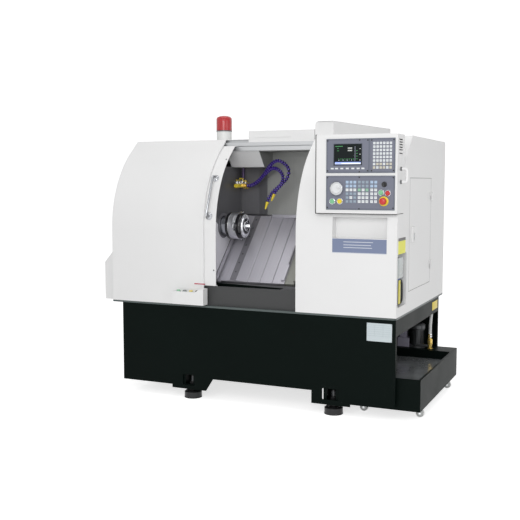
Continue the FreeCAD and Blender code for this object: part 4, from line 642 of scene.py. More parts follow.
def panelOutlines():
    bm = bmesh.new()
    face, inset, rim, wide = (panel[part] for part in ("face", "grooveInset", "rim", "rimWide"))
    x0, x1 = panel["left"], panel["left"] + panel["wide"]
    for low in (panel["upper"], panel["lower"]):
        z0, z1 = low, low + panel["high"]
        addBorder(bm, x0 + inset, x1 - inset, z0 + inset, z1 - inset, 1, face - 0.15, face + 0.1)
        for a, b, c, d in ((x0 - rim, x1 + rim, z0 - rim, z0 + wide), (x0 - rim, x1 + rim, z1 - 2, z1 + rim),
                           (x0 - rim, x0 + wide, z0 + wide, z1 - 2),
                           (x1 - wide, x1 + rim, z0 + wide, z1 - 2)):
            addBlock(bm, a, b, face - 0.2, face + 3.5, c, d)
    for left, right, proud, low, high in panel["seams"]:
        addBlock(bm, x0 + left, x0 + right, face - proud, face + 0.1, low, high)
    piece("panelLines", bm, "panelLine")


bezels = {
    "button": [(3.4, 14.5), (5.4, 14.8), (6.0, 16.0), (5.2, 17.8), (2.2, 18.6), (0.2, 18.8)],
    "key": [(2.8, 11.5), (4.4, 12), (4.8, 13.5), (3.8, 15.6), (0.2, 16)],
    "stop": [(1.9, 9.4), (3.0, 10), (3.4, 24), (2.8, 28), (0.1, 29)],
    # ticks round the pulse wheel
    "scale": {"ticks": 60, "long": (40.2, 44.0), "short": (42.0, 44.0), "half": 0.4, "out": -3.06},
}


def panelFittings():
    screws = [(onPanel(u, v, upper, 0.3), toFront, *panel["screw"]) for upper in (True, False)
              for u, v in panel["screws"] + (panel["seamScrews"] if upper else ())]
    pieceOf("panelScrews", addScrew, screws, "blackPlastic")
    buttons = [onPanel(u, v) for u, v in panel["buttons"]]
    turnedPiece("bezelRings", buttons, toFront, bezels["button"], "chrome", steps=40)
    turnedPiece("keyRing", [onPanel(*panel["key"])], toFront, bezels["key"], "blackPlastic", steps=40)
    turnedPiece("stopCollar", [onPanel(*panel["stop"])], toFront, bezels["stop"], "yellowPlastic", steps=48)
    bm = bmesh.new()
    scale = bezels["scale"]
    base = onPanel(*panel["wheel"], y=scale["out"])
    for i, turn in enumerate(circle(scale["ticks"])):
        out = Vector((math.sin(turn), 0, math.cos(turn)))
        side = Vector((math.cos(turn), 0, -math.sin(turn)))
        inner, outer = scale["short"] if i % 5 else scale["long"]
        addPrism(bm, spoke(base, out, side, inner, outer, scale["half"]), Vector((0, 0.0004, 0)))
    piece("wheelScale", bm, "blackPlastic")


wheelGrip = {"teeth": 36, "radius": 39.0, "tooth": (-0.2, 0.5),  # root and tip, from the radius
             "rows": ((5.0, 0.0), (5.6, 0.7), (18.0, 0.7), (18.8, 0.0)), "foot": 1.8}
stopHead = [(33.4, 0), (33.9, 6), (34.2, 9), (33.9, 12), (32.2, 16.5), (30.4, 18.9), (26, 20.3),
            (22.5, 20.35), (16.5, 20.2), (15.8, 18), (15.8, 9.2)]


def wheelAndStop():
    bm = bmesh.new()
    rings = []
    for reach, swell in wheelGrip["rows"]:
        centre = onPanel(*panel["wheel"], y=-wheelGrip["foot"] - reach)
        ring = []
        for i, a in enumerate(circle(2 * wheelGrip["teeth"])):
            radius = wheelGrip["radius"] + swell + wheelGrip["tooth"][i % 2]
            ring.append(bm.verts.new(centre + Vector((math.cos(a), 0, math.sin(a))) * (radius / 1000)))
        rings.append(ring)
    joinRings(bm, rings)
    piece("wheelGrip", bm, "chrome", "pulse_wheel")
    turnedPiece("stopHead", [onPanel(*panel["stop"])], toFront, stopHead, "redPlastic", "stop_button", 48)


keyCaps()
screen()
panelOutlines()
panelFittings()
wheelAndStop()
print("control panels ready")

coolantHose = {
    "breakAt": 0.1,  # metres between two chains
    "longIsland": 1.7, "touching": 0.017,  # a long loose part is three segments that touch
    # shares of half the pitch, and radii
    "bead": ((-0.62, 6.0), (-0.58, 9.2), (-0.36, 12.2), (0, 13.2), (0.34, 12.2), (0.56, 9.2), (0.6, 6.0)),
    "neck": ((-1.1, 6.6), (0, 6.8), (1.1, 6.6)),
    "nozzle": [(0, 5), (1.5, 10.6), (13, 11.0), (15, 9.8), (48, 5.2), (51, 4.6), (51, 3.0), (38, 2.8)],
    "nozzleGap": 0.008,  # metres
}


def hoseIslands():  # middle and reach of every loose part in the CAD hoses, in their own order
    bm = bmesh.new()
    bm.from_mesh(nodes["segmented_hoses"].data)
    bmesh.ops.remove_doubles(bm, verts=bm.verts, dist=shading["weld"])
    islands, seen = [], set()
    bm.verts.ensure_lookup_table()
    for start in bm.verts:
        if start.index in seen:
            continue
        stack, members = [start], []
        seen.add(start.index)
        while stack:
            vert = stack.pop()
            members.append(vert.co.copy())
            for edge in vert.link_edges:
                other = edge.other_vert(vert)
                if other.index not in seen:
                    seen.add(other.index)
                    stack.append(other)
        low = Vector([min(p[i] for p in members) for i in range(3)])
        high = Vector([max(p[i] for p in members) for i in range(3)])
        islands.append(((low + high) / 2, (high - low).length))
    bm.free()
    return islands


def hoses():  # beads and necks along the CAD chains, and the nozzles at their tips
    islands = hoseIslands()
    typical = sorted(reach for _, reach in islands)[len(islands) // 2]
    chains, tips = [[]], []
    for i, (centre, reach) in enumerate(islands):
        last = i + 1 == len(islands) or (islands[i + 1][0] - centre).length > coolantHose["breakAt"]
        if last:
            tips.append(centre)
            chains.append([])
        elif reach > typical * coolantHose["longIsland"]:
            heading = (islands[i + 1][0] - centre).normalized()
            chains[-1] += [centre + heading * coolantHose["touching"] * k for k in (-1, 0, 1)]
        else:
            chains[-1].append(centre)
    chains = [chain for chain in chains if chain]
    beads, nozzles = bmesh.new(), bmesh.new()
    for chain, tip in zip(chains, tips):
        for i, centre in enumerate(chain):
            before = chain[i - 1] if i else centre * 2 - chain[1]
            after = chain[i + 1] if i + 1 < len(chain) else centre * 2 - chain[i - 1]
            heading = (after - before).normalized()
            half = (after - before).length * 1000 / 4  # half a pitch, in millimetres
            for part, steps, slot in (("bead", 20, 0), ("neck", 16, 1)):
                outline = [(half * share, radius) for share, radius in coolantHose[part]]
                addTurned(beads, centre, heading, outline, steps, slot)
        heading = (tip - chain[-1]).normalized()
        addTurned(nozzles, chain[-1] + heading * coolantHose["nozzleGap"], heading, coolantHose["nozzle"], 24)
    # the necks take the darker copy of the hose plastic: painted shade between the beads
    piece("hoseBeads", beads, ["hosePlastic", "hoseNeckShade"], instead=["segmented_hoses"])
    piece("hoseTips", nozzles, "nozzleYellow")
    print("hose chains", [len(chain) for chain in chains])


hoses()
print("hoses ready")

plate = {"block": (-178, -23, -0.9, 0.5, 487, 597), "proud": (-1.0, -0.5), "line": 0.8,
         "rules": (585, 572, 559, 546, 533, 520), "ruleEnds": (-172, -29),
         "columns": (-130, -78), "columnEnds": (520, 586),
         "screws": ((-174, 491), (-174, 593), (-27, 491), (-27, 593)), "screw": (2.4, 1.0)}
strip = {"blocks": [(-401, -63, -0.7, 0.5, 1010, 1097, 0), (-401, -63, -0.8, 0, 1010, 1014, 1)],
         "bars": (1076, 1058, 1042)}
fields = {"band": [(-0.4, 0.8, 960, 1122, 545, 602)], "red": [(-1352, -1274, -0.6, 0.4, 770, 777)],
          "oiler": [(-0.4, 0.7, 29, 192, 1009, 1105, 0), (-0.3, 0.8, 29, 192, 1087, 1105, 1)]}


def addFields():  # bare plates and plain fields
    bm = bmesh.new()
    addBlock(bm, *plate["block"])
    for z in plate["rules"]:
        addBlock(bm, *plate["ruleEnds"], *plate["proud"], z, z + plate["line"], 1)
    for x in plate["columns"]:
        addBlock(bm, x, x + plate["line"], *plate["proud"], *plate["columnEnds"], 1)
    for x, z in plate["screws"]:
        addScrew(bm, at(x, -0.8, z), toFront, *plate["screw"], 1)
    piece("basePlate", bm, ["plateMetal", "ruleGrey"])
    bars = [(-330, -140 - (z % 5) * 6, -0.85, 0, z, z + 4, 1) for z in strip["bars"]]
    pieceOf("plainStrip", addBlock, strip["blocks"] + bars, ["stripBlue", "stripWhite"])
    pieceOf("bandField", addBlock, fields["band"], "fieldYellow", bevel=0.2)
    pieceOf("oilerField", addBlock, fields["oiler"], ["fieldLemon", "blackPlastic"])
    pieceOf("redStrip", addBlock, fields["red"], "fieldRed")


addFields()
print("fields ready")

spindleAt = at(-1236, 299.95, 1142)
chuck = {
    # outlines from the spindle's face along X, and the finish: 0 dark, 1 bright
    "outlines": (([(0, 50), (0, 86), (2.5, 90), (4, 90.8), (18, 90.8), (20.5, 89), (21, 88.4)], 0),
                 ([(21, 88.4), (23, 87.8), (37, 87.8), (38, 86.6), (41, 86.6), (42, 87.8), (58, 87.8),
                   (60, 86)], 1),
                 ([(74, 82), (75, 85), (77, 86), (88, 86), (88.8, 85), (91, 85), (91.8, 86), (103, 86),
                   (108, 83.5), (111, 79)], 0),
                 ([(111, 79), (112.2, 77.5), (112.4, 70), (113.4, 65), (117, 63.5), (119, 62), (119.6, 60),
                   (119.6, 53)], 1),
                 ([(119.6, 53), (117.2, 52), (116.8, 34), (118.8, 33)], 0),
                 ([(118.8, 33), (120.6, 32), (121.2, 30), (121.2, 24)], 1),
                 ([(121.2, 24), (118.0, 23), (118.0, 17)], 0),
                 ([(118.0, 17), (122.4, 16), (122.8, 14), (122.8, 12.5), (112, 12.4)], 1)),
    # lobed plate: reach, inset and share of the radius
    "plate": ((60, 3, 0.8), (60, 3, 1), (60.8, 1.2, 1), (62.4, 0, 1), (71.6, 0, 1), (73.2, 1.2, 1),
              (74, 3, 1), (74, 3, 0.8)),
    "plateRadius": 89, "lobes": (60, 180, 300), "lobeRise": 22, "lobeHalf": 19,
    # reach, radius and degrees from the lobe, then radius and height of the head
    "lobeScrews": (74, 100, 13), "lobeScrew": (5, 5), "faceScrews": (112.2, 73.5), "faceScrew": (3.4, 1.6),
    "slots": {"inner": 35, "outer": 51, "half": 5.5, "from": 116.5, "tall": 2.7},
    "steps": 96, "plateSteps": 144,
}


def aroundSpindle(reach, radius, degrees):  # a place round the spindle
    turn = math.radians(degrees)
    return spindleAt + Vector((reach, radius * math.cos(turn), radius * math.sin(turn))) / 1000


def chuckBody():
    bm = bmesh.new()
    for outline, slot in chuck["outlines"]:
        addTurned(bm, spindleAt, toRight, outline, chuck["steps"], slot)
    rings = []
    for reach, inset, share in chuck["plate"]:
        ring = []
        for i in range(chuck["plateSteps"]):
            degrees = 360 * i / chuck["plateSteps"]
            lean = min(abs(degrees - lobe) for lobe in chuck["lobes"])
            rise = 0
            if lean < chuck["lobeHalf"]:
                rise = chuck["lobeRise"] * math.cos(math.radians(90 * lean / chuck["lobeHalf"])) ** 1.2
            radius = (chuck["plateRadius"] + rise - inset) * share
            ring.append(bm.verts.new(aroundSpindle(reach, radius, degrees)))
        rings.append(ring)
    joinRings(bm, rings, 1)
    piece("chuckBody", bm, ["chuckBlack", "chuckBright"], "main_spindle", instead=["chuck"])


def chuckDetail():
    reach, radius, spread = chuck["lobeScrews"]
    screws = [(aroundSpindle(reach, radius, lobe + lean), toRight, *chuck["lobeScrew"])
              for lobe in chuck["lobes"] for lean in (-spread, spread)]
    screws += [(aroundSpindle(*chuck["faceScrews"], 30 + 60 * i), toRight, *chuck["faceScrew"])
               for i in range(6)]
    pieceOf("chuckScrews", addScrew, screws, "darkSteel", "main_spindle")
    bm = bmesh.new()
    slots = chuck["slots"]
    for lobe in chuck["lobes"]:
        turn = math.radians(lobe)
        out, side = Vector((0, math.cos(turn), math.sin(turn))), Vector((0, -math.sin(turn), math.cos(turn)))
        foot = spindleAt + Vector((slots["from"] / 1000, 0, 0))
        addPrism(bm, spoke(foot, out, side, slots["inner"], slots["outer"], slots["half"]),
                 Vector((slots["tall"] / 1000, 0, 0)))
    piece("chuckKeys", bm, "turnedSteel", "main_spindle", 1.0)


slant = math.sqrt(0.5)  # the bed stands at 45 degrees
covers = {
    "bodies": ("machine", "cover_one", "cover_two", "cover_three"),
    "edge": -1042, "pitch": 85, "level": 447.6, "drop": 5, "foot": 660, "head": 1253, "narrowing": 4,
    "strip": (-9, -1, -0.5, 0.8), "lip": (-1.6, 0.6, -4.85, 0.4),  # from the edge, and from the cover's top
    "stripX": -1150, "screws": 7, "firstScrew": 80, "screwPitch": 78,
    "screw": [(0, 5.6), (0.6, 5.4), (1.0, 4.4), (1.0, 2.4), (0.3, 2.2), (0.3, 0)],
    "leftFlashing": (-1284.8, -1262, 668, 1246, 445.0, 448.4),  # along X, up the slope, square to it
    "headFlashing": (-1040, -330, 561, 571.6, 1190, 1212),
}


def slope(x, s, n):  # s up the slanted bed, n square to it
    return at(x, (s - n) * slant, (s + n) * slant)


def addSlopeBlock(bm, x0, x1, s0, s1, n0, n1, slot=0):
    addBox(bm, [slope(x, s, n) for x in (x0, x1) for s in (s0, s1) for n in (n0, n1)], slot)


def coverDetail():  # wiper lips with their clamping strips, strip screws and flashings
    for level, body in enumerate(covers["bodies"]):
        edge = covers["edge"] + covers["pitch"] * level
        top = covers["level"] - covers["drop"] * level
        foot = covers["foot"] + covers["narrowing"] * level + 3
        head = covers["head"] - covers["narrowing"] * level - 3
        blocks = []
        for part, slot in (("strip", 1), ("lip", 0)):
            left, right, low, high = covers[part]
            blocks.append((edge + left, edge + right, foot, head, top + low, top + high, slot))
        looks = ["wiperRubber", "stainless"]
        pieceOf("coverWiper" + str(level), addSlopeBlock, blocks, looks, body, bevel=0.3)
    first = covers["foot"] + covers["firstScrew"]
    spots = [slope(covers["stripX"], first + i * covers["screwPitch"], covers["level"] + 3.7)
             for i in range(covers["screws"])]
    turnedPiece("stripScrews", spots, (0, -slant, slant), covers["screw"], "darkSteel", steps=18)
    bm = bmesh.new()
    addSlopeBlock(bm, *covers["leftFlashing"])
    addBlock(bm, *covers["headFlashing"])
    piece("coverFlashings", bm, "stainless", bevel=0.3)


workArea = {
    "rivets": {"x": (-1072, -560), "z": (900, 1090, 1280, 1470), "wall": 570.6,
               "head": [(0, 4), (1.2, 3.6), (1.6, 2.0), (1.7, 0)]},
    "ring": [(0.2, 64.5), (0.4, 84), (3.4, 84), (4.4, 82), (4.4, 66), (3.4, 64.6)], "ringAt": -52.5,
    "ringScrews": (-48, 75), "ringScrew": (4, 2.6), "ringScrewCount": 8,
    # node, finish and the box of the faces that take it
    # painted light and reflection: the stainless left wall takes a near-white colour
    "paint": (("work_area_liner", "wallSteelLit", (-1295, 0, 600), (-1270, 620, 1180)),
              # painted light: the sloped ceiling and the liner's right part take the lighter copies of its
              # steel where light falls on them
              ("work_area_liner", "linerLitWhite", (-1292, 340, 1530), (-1046, 600, 1650)),
              ("work_area_liner", "linerLitPale", (-1046, 300, 600), (-200, 620, 1720)),
              # painted shade: the liner's faces in the chip chute are painted black for the shade down in
              # that opening
              ("work_area_liner", "blackPaint", (-1300, 40, 600), (-770, 160, 760)),
              ("fixed_way_cover", "stripSteel", (-1173, 100, 600), (-1126, 620, 1300)),
              ("coolant_manifold", "feedPurple", (-1290, 560, 1440), (-1250, 585, 1560))),
}


def linerDetail():
    rivets = workArea["rivets"]
    spots = [at(x, rivets["wall"], z) for z in rivets["z"] for x in rivets["x"]]
    turnedPiece("linerRivets", spots, toFront, rivets["head"], "darkSteel", steps=14)
    bm = bmesh.new()
    addTurned(bm, aroundSpindle(workArea["ringAt"], 0, 0), toRight, workArea["ring"], 64)
    pitch = 360 / workArea["ringScrewCount"]
    for i in range(workArea["ringScrewCount"]):
        spot = aroundSpindle(*workArea["ringScrews"], pitch * (i + 0.5))
        addScrew(bm, spot, toRight, *workArea["ringScrew"])
    piece("spindleRing", bm, "stripSteel")


manifold = {
    # place, direction, width across flats and height
    "nuts": (((-1222, 550, 1412), toRight, 21, 7), ((-1222, 518, 1412), toRight, 21, 7),
             ((-1264, 552, 1425), toTop, 22, 6), ((-1240, 552, 1425), toTop, 22, 6),
             ((-1250, 500, 1412), toFront, 18, 6), ((-1268, 572, 1426), toTop, 24, 12)),
    # lever, its body, place along X and top of the valve
    "valves": (("leverOne", "valve_one", -1264, 1453), ("leverTwo", "valve_two", -1240, 1437)),
    "valveY": 552, "valveFoot": 1424, "plugFoot": 1421, "barNut": ((-1258, 436, 1410), toFront, 26, 8),
    "elbow": [(0, 9), (0, 14), (3, 15.5), (12, 15.5), (14, 14)], "elbowAt": (-1282, 530, 1412),
    "plugs": (452, 492), "plug": [(0, 12), (3, 14), (18, 14), (22, 11), (24, 6), (24, 0)],
    "bar": (-1274, -1242, 436, 540, 1399, 1421), "cover": (-1262, -1254, 440, 510, 1446, 1452), "barX": -1258,
    "hub": [(0, 7.4), (0.6, 9), (6, 9), (7.4, 7.4), (7.6, 3.2)],
    "lever": ((548, 3, 4.6), (530, 4, 5.6), (512, 4, 5.8), (506, 4, 4.2)),  # depth, rise and radius
}


def manifoldDetail():
    nuts = [(at(*place), *shape) for place, *shape in manifold["nuts"]]
    pieceOf("manifoldNuts", addHex, nuts, "brass", bevel=0.3)
    y = manifold["valveY"]
    bm = bmesh.new()
    for label, body, x, top in manifold["valves"]:
        reach = top - manifold["valveFoot"]
        stem = [(0, 10), (2, 12), (reach - 8, 12), (reach - 4, 10.4), (reach - 1, 9.4)]
        addTurned(bm, at(x, y, manifold["valveFoot"]), toTop, stem, 28)
    addTurned(bm, at(*manifold["elbowAt"]), toRight, manifold["elbow"], 28)
    for depth in manifold["plugs"]:
        addTurned(bm, at(manifold["barX"], depth, manifold["plugFoot"]), toTop, manifold["plug"], 28)
    piece("valveBodies", bm, "chromeSoft")
    bm = bmesh.new()
    addBlock(bm, *manifold["bar"])
    addBlock(bm, *manifold["cover"])
    place, *shape = manifold["barNut"]
    addHex(bm, at(*place), *shape)
    piece("manifoldBar", bm, "nozzleYellow", bevel=2.0)
    for label, body, x, top in manifold["valves"]:
        low = top + 3
        bm = bmesh.new()
        addTurned(bm, at(x, y, low - 0.4), toTop, manifold["hub"], 28)
        path = [at(x, depth, low + rise) for depth, rise, radius in manifold["lever"]]
        addTube(bm, path, tuple(radius for depth, rise, radius in manifold["lever"]), 14)
        piece(label, bm, "nozzleYellow", body)


chuckBody()
chuckDetail()
coverDetail()
linerDetail()
manifoldDetail()
for name, look, low, high in workArea["paint"]:
    paintFaces(name, look, low, high)
print("work area ready")

hood = {"radius": 680, "height": 1120, "doorInset": 12}  # the arc that the door's skin follows
door = {
    "bosses": ((-1250, 1216), (-1245, 1460)),
    "boss": [(0, 24), (2.5, 24.5), (5, 23), (8, 18), (14, 11.5), (20, 9.0), (26, 7.4)],
    "screws": ((-1215, 1585), (-1215, 866)), "screw": (4.5, 2.6),
}


def onDoor(x, z):  # a place on the door's skin and the way it faces
    rise = z - hood["height"]
    if rise <= 0:
        return at(x, hood["doorInset"], z), Vector(toFront)
    angle = math.asin(rise / hood["radius"])
    skin = hood["radius"] - hood["doorInset"]
    depth = hood["radius"] - math.sqrt(skin ** 2 - rise ** 2)
    return at(x, depth, z), Vector((0, -math.cos(angle), math.sin(angle)))


def doorDetail():
    spots = [onDoor(x, z) for x, z in door["bosses"]]
    bosses = [(foot - out * 0.0004, out, door["boss"], 40) for foot, out in spots]
    pieceOf("handleBosses", addTurned, bosses, "gripChrome", "front_door")
    spots = [onDoor(x, z) for x, z in door["screws"]]
    screws = [(foot - out * 0.0003, out, *door["screw"]) for foot, out in spots]
    pieceOf("doorScrews", addScrew, screws, "darkSteel", "front_door")


buttonBox = {
    "first": (-1452, -34, 716), "pitch": 46,
    "caps": (("greenPlastic", "boxGreen"), ("boxGrey", "boxGrey"), ("yellowPlastic", "boxYellow"),
             ("blackPlastic", "boxBlack")),
    "cap": [(4, 12.3), (14, 12.6), (17, 11.8), (18, 9), (18.4, 0)],
    "bezel": [(0.2, 17), (3, 17), (4.4, 16), (9, 14.8), (10.5, 13.8), (10.5, 12.8)],
}


def boxButtons():
    x, y, z = buttonBox["first"]
    spots = [at(x + i * buttonBox["pitch"], y, z) for i in range(len(buttonBox["caps"]))]
    for spot, (look, name) in zip(spots, buttonBox["caps"]):
        turnedPiece(name, [spot], toTop, buttonBox["cap"], look)
    turnedPiece("boxBezels", spots, toTop, buttonBox["bezel"], "clearBezel")


beaconLight = {
    "place": (-1345, 430, 1722), "seat": [(60, 53), (61, 55), (65, 55.4), (67, 54.6)],
    "rings": 9, "firstRing": 74, "ringPitch": 8, "ring": ((0, 54.0), (1.2, 54.7), (2.8, 54.7), (4, 54.0)),
    "lamp": [(64, 30), (70, 30), (74, 12), (92, 12), (94, 16), (104, 20), (116, 18), (124, 10), (126, 0)],
}


def beacon():
    centre = at(*beaconLight["place"])
    turnedPiece("beaconSeat", [centre], toTop, beaconLight["seat"], "darkSteel", steps=64)
    levels = [beaconLight["firstRing"] + i * beaconLight["ringPitch"] for i in range(beaconLight["rings"])]
    outlines = [[(z + rise, radius) for rise, radius in beaconLight["ring"]] for z in levels]
    rings = [(centre, toTop, outline, 64) for outline in outlines]
    pieceOf("beaconRings", addTurned, rings, "domePlastic")
    turnedPiece("beaconLamp", [centre], toTop, beaconLight["lamp"], "lampGlass")


doorDetail()
boxButtons()
beacon()
print("door and beacon ready")

oilerParts = {
    "tank": (-96, -5, 52, 168, 862, 986), "bands": (884, 934), "band": (1.5, 5),
    "fill": (-92, -9, 56, 164, 866, 916),
    "capAt": (-50, 110, 984), "cap": [(0, 26), (3, 26), (4, 24), (16, 23), (18, 20), (18, 0)],
    "body": (-96, -14, 54, 140, 812, 861), "ribs": (66, 82, 98, 114, 130), "rib": (-94, -12, 2, 815, 858),
    "field": (-11, -9.6, 84, 128, 706, 850),
    "motorAt": (-52, 96, 712), "motor": [(0, 0), (0, 26), (4, 32), (64, 32), (70, 28)],
    "fins": (18, 31, 33.5, 1, 56),  # count, inner and outer radius, half width, height
    "motorBox": (-96, -11, 56, 134, 704, 812),
    "hose": ((-30, 138, 846), (-16, 150, 846), (-11, 160, 826), (-11, 168, 776), (-14, 176, 726),
             (-28, 184, 700), (-60, 190, 690)), "hoseRadius": 6.5,
}


def oiler():  # a clear oil tank over its pump and motor, in the recess
    x0, x1, y0, y1, z0, z1 = oilerParts["tank"]
    proud, tall = oilerParts["band"]
    blocks = [(x0 - proud, x1 + proud, y0 - proud, y1 + proud, z, z + tall) for z in oilerParts["bands"]]
    blocks.insert(0, oilerParts["tank"])
    pieceOf("oilTank", addBlock, blocks, "tankClear", bevel=5.0, instead=["oil_pump"], segments=4)
    pieceOf("oilFill", addBlock, [oilerParts["fill"]], "oilTint", bevel=4.0, segments=3)
    turnedPiece("oilCap", [at(*oilerParts["capAt"])], toTop, oilerParts["cap"], "blackPlastic")
    x0, x1, half, z0, z1 = oilerParts["rib"]
    ribs = [(x0, x1, y - half, y + half, z0, z1) for y in oilerParts["ribs"]]
    pieceOf("oilBody", addBlock, [oilerParts["body"]] + ribs, "pumpBlue", bevel=2.0)
    pieceOf("oilField", addBlock, [oilerParts["field"]], "fieldOil", bevel=0.4)
    bm = bmesh.new()
    foot = at(*oilerParts["motorAt"])
    addTurned(bm, foot, toTop, oilerParts["motor"], 40)
    addFins(bm, foot + Vector((0, 0, 0.006)), *oilerParts["fins"])
    addBlock(bm, *oilerParts["motorBox"])
    piece("oilMotor", bm, "blackPlastic", bevel=0.6)
    path = smoothPath([at(*place) for place in oilerParts["hose"]])
    pieceOf("oilHose", addTube, [(path, oilerParts["hoseRadius"])], "oilHoseBlack")


sideParts = {
    # painted shadow: dark strips in the gaps left of and under the control box
    "gapShadows": ((-504.5, -500.5, -22, -4, 1246, 1719), (-500.5, -2, -22, -4, 1245.5, 1250.5)),
    "handleFeet": (1436, 1513), "handleFoot": [(0, 13), (3, 13), (6, 10.5), (10, 9.5)],
    "latch": ((3.2, 7, 352, 388, 1080, 1118), (5, 11, 356, 384, 1096, 1112)),
    "doorBack": 856.1, "gasketDepth": (-3, 0.15), "gasketWide": 2.1, "gap": 2.2, "lap": 1.7, "over": 2,
}


def sideDetail():  # painted shadow: a dark strip in the gap round the control box; handle feet, latch and the side door's gasket
    pieceOf("boxGapShadow", addBlock, sideParts["gapShadows"], "beltRubber")
    feetAt = [at(0.2, 50, z) for z in sideParts["handleFeet"]]
    turnedPiece("handleFeet", feetAt, toRight, sideParts["handleFoot"], "darkSteel", steps=28)
    pieceOf("latchPull", addBlock, sideParts["latch"], "alloy", "access_door", bevel=1.2)
    low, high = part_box("side_door")
    front, foot, head = 1000 * (low.y - frontY), 1000 * low.z, 1000 * high.z
    back, wide, gap, lap, over = (sideParts[k] for k in ("doorBack", "gasketWide", "gap", "lap", "over"))
    edges = ((front - gap, front - gap + wide, foot - over, head + over),
             (front, back + lap, foot - gap, foot - gap + wide),
             (front, back + lap, head + gap - wide, head + gap), (back, back + wide, foot, head))
    pieceOf("doorGasket", addBlock, [(*sideParts["gasketDepth"], *edge) for edge in edges], "beltRubber")


gear = {
    "rows": 3, "firstRail": 60, "railPitch": 115, "columns": 6, "left": 334, "pitch": 80,
    "fronts": (-120, -145), "deep": 62, "wide": 62, "reach": 40, "face": (-0.5, 3, 3, 16),
    "terminals": (12, 31, 50), "terminal": (2.5, 9, 4, 9), "screwRise": 27, "screw": (4.2, 2.2),
    "duct": (-202.4, -160, 322, 836), "ductRise": (42, 73), "slot": (-160.5, -158.5), "slotRise": (44, 71),
    "ductSlots": 36, "firstSlot": 328, "slotPitch": 14, "slotWide": 7,
}


def switchgear():  # faces, levers and terminals of the switchgear, and slotted ducts between its rows
    plateFoot = 1000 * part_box("electrical_plate")[0].z
    ducts, faces, screws = bmesh.new(), bmesh.new(), bmesh.new()
    for row in range(gear["rows"]):
        rail = plateFoot + gear["firstRail"] + row * gear["railPitch"]
        for column in range(gear["columns"]):
            y, odd = gear["left"] + column * gear["pitch"], (column + row) % 2
            x, far = gear["fronts"][odd], y + gear["wide"]
            low = (x - gear["deep"], y - 2, rail - gear["reach"])
            high = (x + 2, far + 2, rail + gear["reach"])
            paintFaces("electrical_plate", "gearPale" if odd else "gearGrey", low, high)
            back, front, inset, half = gear["face"]
            addBlock(faces, x + back, x + front, y + inset, far - inset, rail - half, rail + half, odd)
            back, front, half, tall = gear["terminal"]
            for spot in [y + offset for offset in gear["terminals"]]:
                foot, head = rail - tall, rail + tall
                addBlock(faces, x + back, x + front, spot - half, spot + half, foot, head, odd + 1)
                for rise in (-gear["screwRise"], gear["screwRise"]):
                    addScrew(screws, at(x - 0.2, spot, rail + rise), toRight, *gear["screw"])
        if row + 1 < gear["rows"]:
            addBlock(ducts, *gear["duct"], *[rail + rise for rise in gear["ductRise"]])
            for k in range(gear["ductSlots"]):
                y = gear["firstSlot"] + k * gear["slotPitch"]
                rises = [rail + rise for rise in gear["slotRise"]]
                addBlock(ducts, *gear["slot"], y, y + gear["slotWide"], *rises, 1)
    piece("gearDucts", ducts, ["gearPale", "gearGrey"])
    piece("gearFaces", faces, ["gearGrey", "gearPale", "gearBlue"], bevel=0.6)
    piece("gearScrews", screws, "chrome")


feet = {
    "places": [(x, y) for x in (-1400, -405) for y in (62, 1103)],
    "threadFoot": 52, "threads": 19, "pitch": 4.6, "root": 14.6, "crest": 15.5, "crestAt": (1.2, 2.2),
    "nut": (64.5, 110), "top": (150, 14.2),
    "rubber": [(0.2, 55), (0.2, 58.6), (7, 58.8), (9, 58.1)],
}


def feetDetail():  # threads on the stems, bare behind the nuts, and the rubber under each pad
    outline = []
    for i in range(feet["threads"]):
        z = feet["threadFoot"] + i * feet["pitch"]
        outline.append((z, feet["root"]))
        if not feet["nut"][0] < z < feet["nut"][1]:
            outline += [(z + rise, feet["crest"]) for rise in feet["crestAt"]]
    outline.append(feet["top"])
    spots = [at(x, y, 0) for x, y in feet["places"]]
    turnedPiece("footThreads", spots, toTop, outline, "darkSteel", steps=24)
    turnedPiece("footRubber", spots, toTop, feet["rubber"], "beltRubber", steps=48)


oiler()
sideDetail()
switchgear()
feetDetail()
print("side ready")

pump = {
    "place": (-124, 1060), "finFoot": 286,
    "fins": (28, 49, 53.5, 1.1, 104),  # count, inner and outer radius, half width, height
    "boltCircle": 50, "boltFoot": 273.5, "bolt": (9, 5),
    "outlet": (-23, 1014), "clamps": (352, 366), "clamp": [(0, 11.4), (0.4, 12.6), (5.4, 12.6), (6, 11.4)],
    "nuts": ((300, 33, 9), (328.5, 30, 7), (264.5, 34, 6)),  # height, width across flats and thickness
    "paint": (("coolant_pump", "boxLilac", (-270, 1000, 262), (-176, 1110, 392)),
              ("coolant_pump", "brass", (-60, 990, 262), (20, 1030, 460))),
}


def pumpDetail():
    for name, look, low, high in pump["paint"]:
        paintFaces(name, look, low, high)
    x, y = pump["place"]
    fins = [(at(x, y, pump["finFoot"]), *pump["fins"])]
    pieceOf("pumpFins", addFins, fins, "blackPaint", "tank", bevel=0.3)
    bolts = []
    for turn in [math.radians(45 + 90 * i) for i in range(4)]:
        across, back = pump["boltCircle"] * math.cos(turn), pump["boltCircle"] * math.sin(turn)
        bolts.append((at(x + across, y + back, pump["boltFoot"]), toTop, *pump["bolt"]))
    pieceOf("pumpBolts", addHex, bolts, "turnedSteel", "tank")
    clamps = [at(*pump["outlet"], z) for z in pump["clamps"]]
    turnedPiece("hoseClamps", clamps, toTop, pump["clamp"], "chrome", "tank")
    nuts = [(at(*pump["outlet"], z), toTop, across, high) for z, across, high in pump["nuts"]]
    pieceOf("valveNuts", addHex, nuts, "brass", "tank", bevel=0.4)


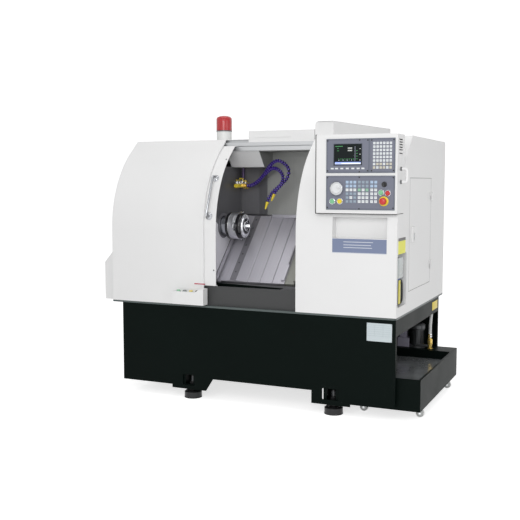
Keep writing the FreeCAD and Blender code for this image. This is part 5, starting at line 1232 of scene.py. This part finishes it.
tank = {
    "film": {"left": -294, "wide": 434, "front": 48, "deep": 919, "columns": 24, "rows": 44, "level": 205.7,
             "ripple": 0.35},
    "rims": (((-296, 45.6, 263), (142, 45.6, 263), 1.6), ((142.2, 46, 263), (142.2, 1134, 263), 0.9)),
    "casters": [(x, y) for y in (201, 1003) for x in (-250, 107)],
    "axle": 25, "hubAt": 11, "boltAt": 14.6, "bolt": (12, 3),
    "hub": [(0.05, 19), (0.35, 18.5), (0.4, 9), (0.1, 7)],
    "forks": ("coolant_tank", "zincPale", (-320, 150, 0), (180, 1060, 58)),
}


def tankDetail():  # wet film on the tray, its pale blotchy colour a painted sheen; rims and caster bolts
    film = tank["film"]
    bm = bmesh.new()
    grid = []
    for j in range(film["rows"] + 1):
        line = []
        for i in range(film["columns"] + 1):
            x = film["left"] + film["wide"] * i / film["columns"]
            y = film["front"] + film["deep"] * j / film["rows"]
            ripple = film["ripple"] * math.sin(i * 1.7 + j * 0.6) * math.cos(j * 0.9 - i * 0.35)
            line.append(bm.verts.new(at(x, y, film["level"] + ripple)))
        grid.append(line)
    for near, far in zip(grid, grid[1:]):
        for i in range(film["columns"]):
            bm.faces.new([near[i], near[i + 1], far[i + 1], far[i]])
    piece("wetFilm", bm, "wetTray", "tank")
    rims = [([at(*start), at(*end)], radius, 10) for start, end, radius in tank["rims"]]
    pieceOf("tankRims", addTube, rims, "blackPaint", "tank")
    bolts = [(at(x, y + side * tank["boltAt"], tank["axle"]), (0, side, 0), *tank["bolt"])
             for x, y in tank["casters"] for side in (-1, 1)]
    pieceOf("casterBolts", addHex, bolts, "chrome", "tank")


def wheelDetail():  # hub discs that turn with the casters
    for i, (x, y) in enumerate(tank["casters"]):
        hubs = [(at(x, y + side * tank["hubAt"], tank["axle"]), (0, side, 0), tank["hub"])
                for side in (-1, 1)]
        number = str(i + 1)
        pieceOf("wheelHub" + number, addTurned, hubs, "hubGrey" + number, "roller_" + number)


paintFaces(*tank["forks"])
pumpDetail()
tankDetail()
wheelDetail()
print("tank ready")
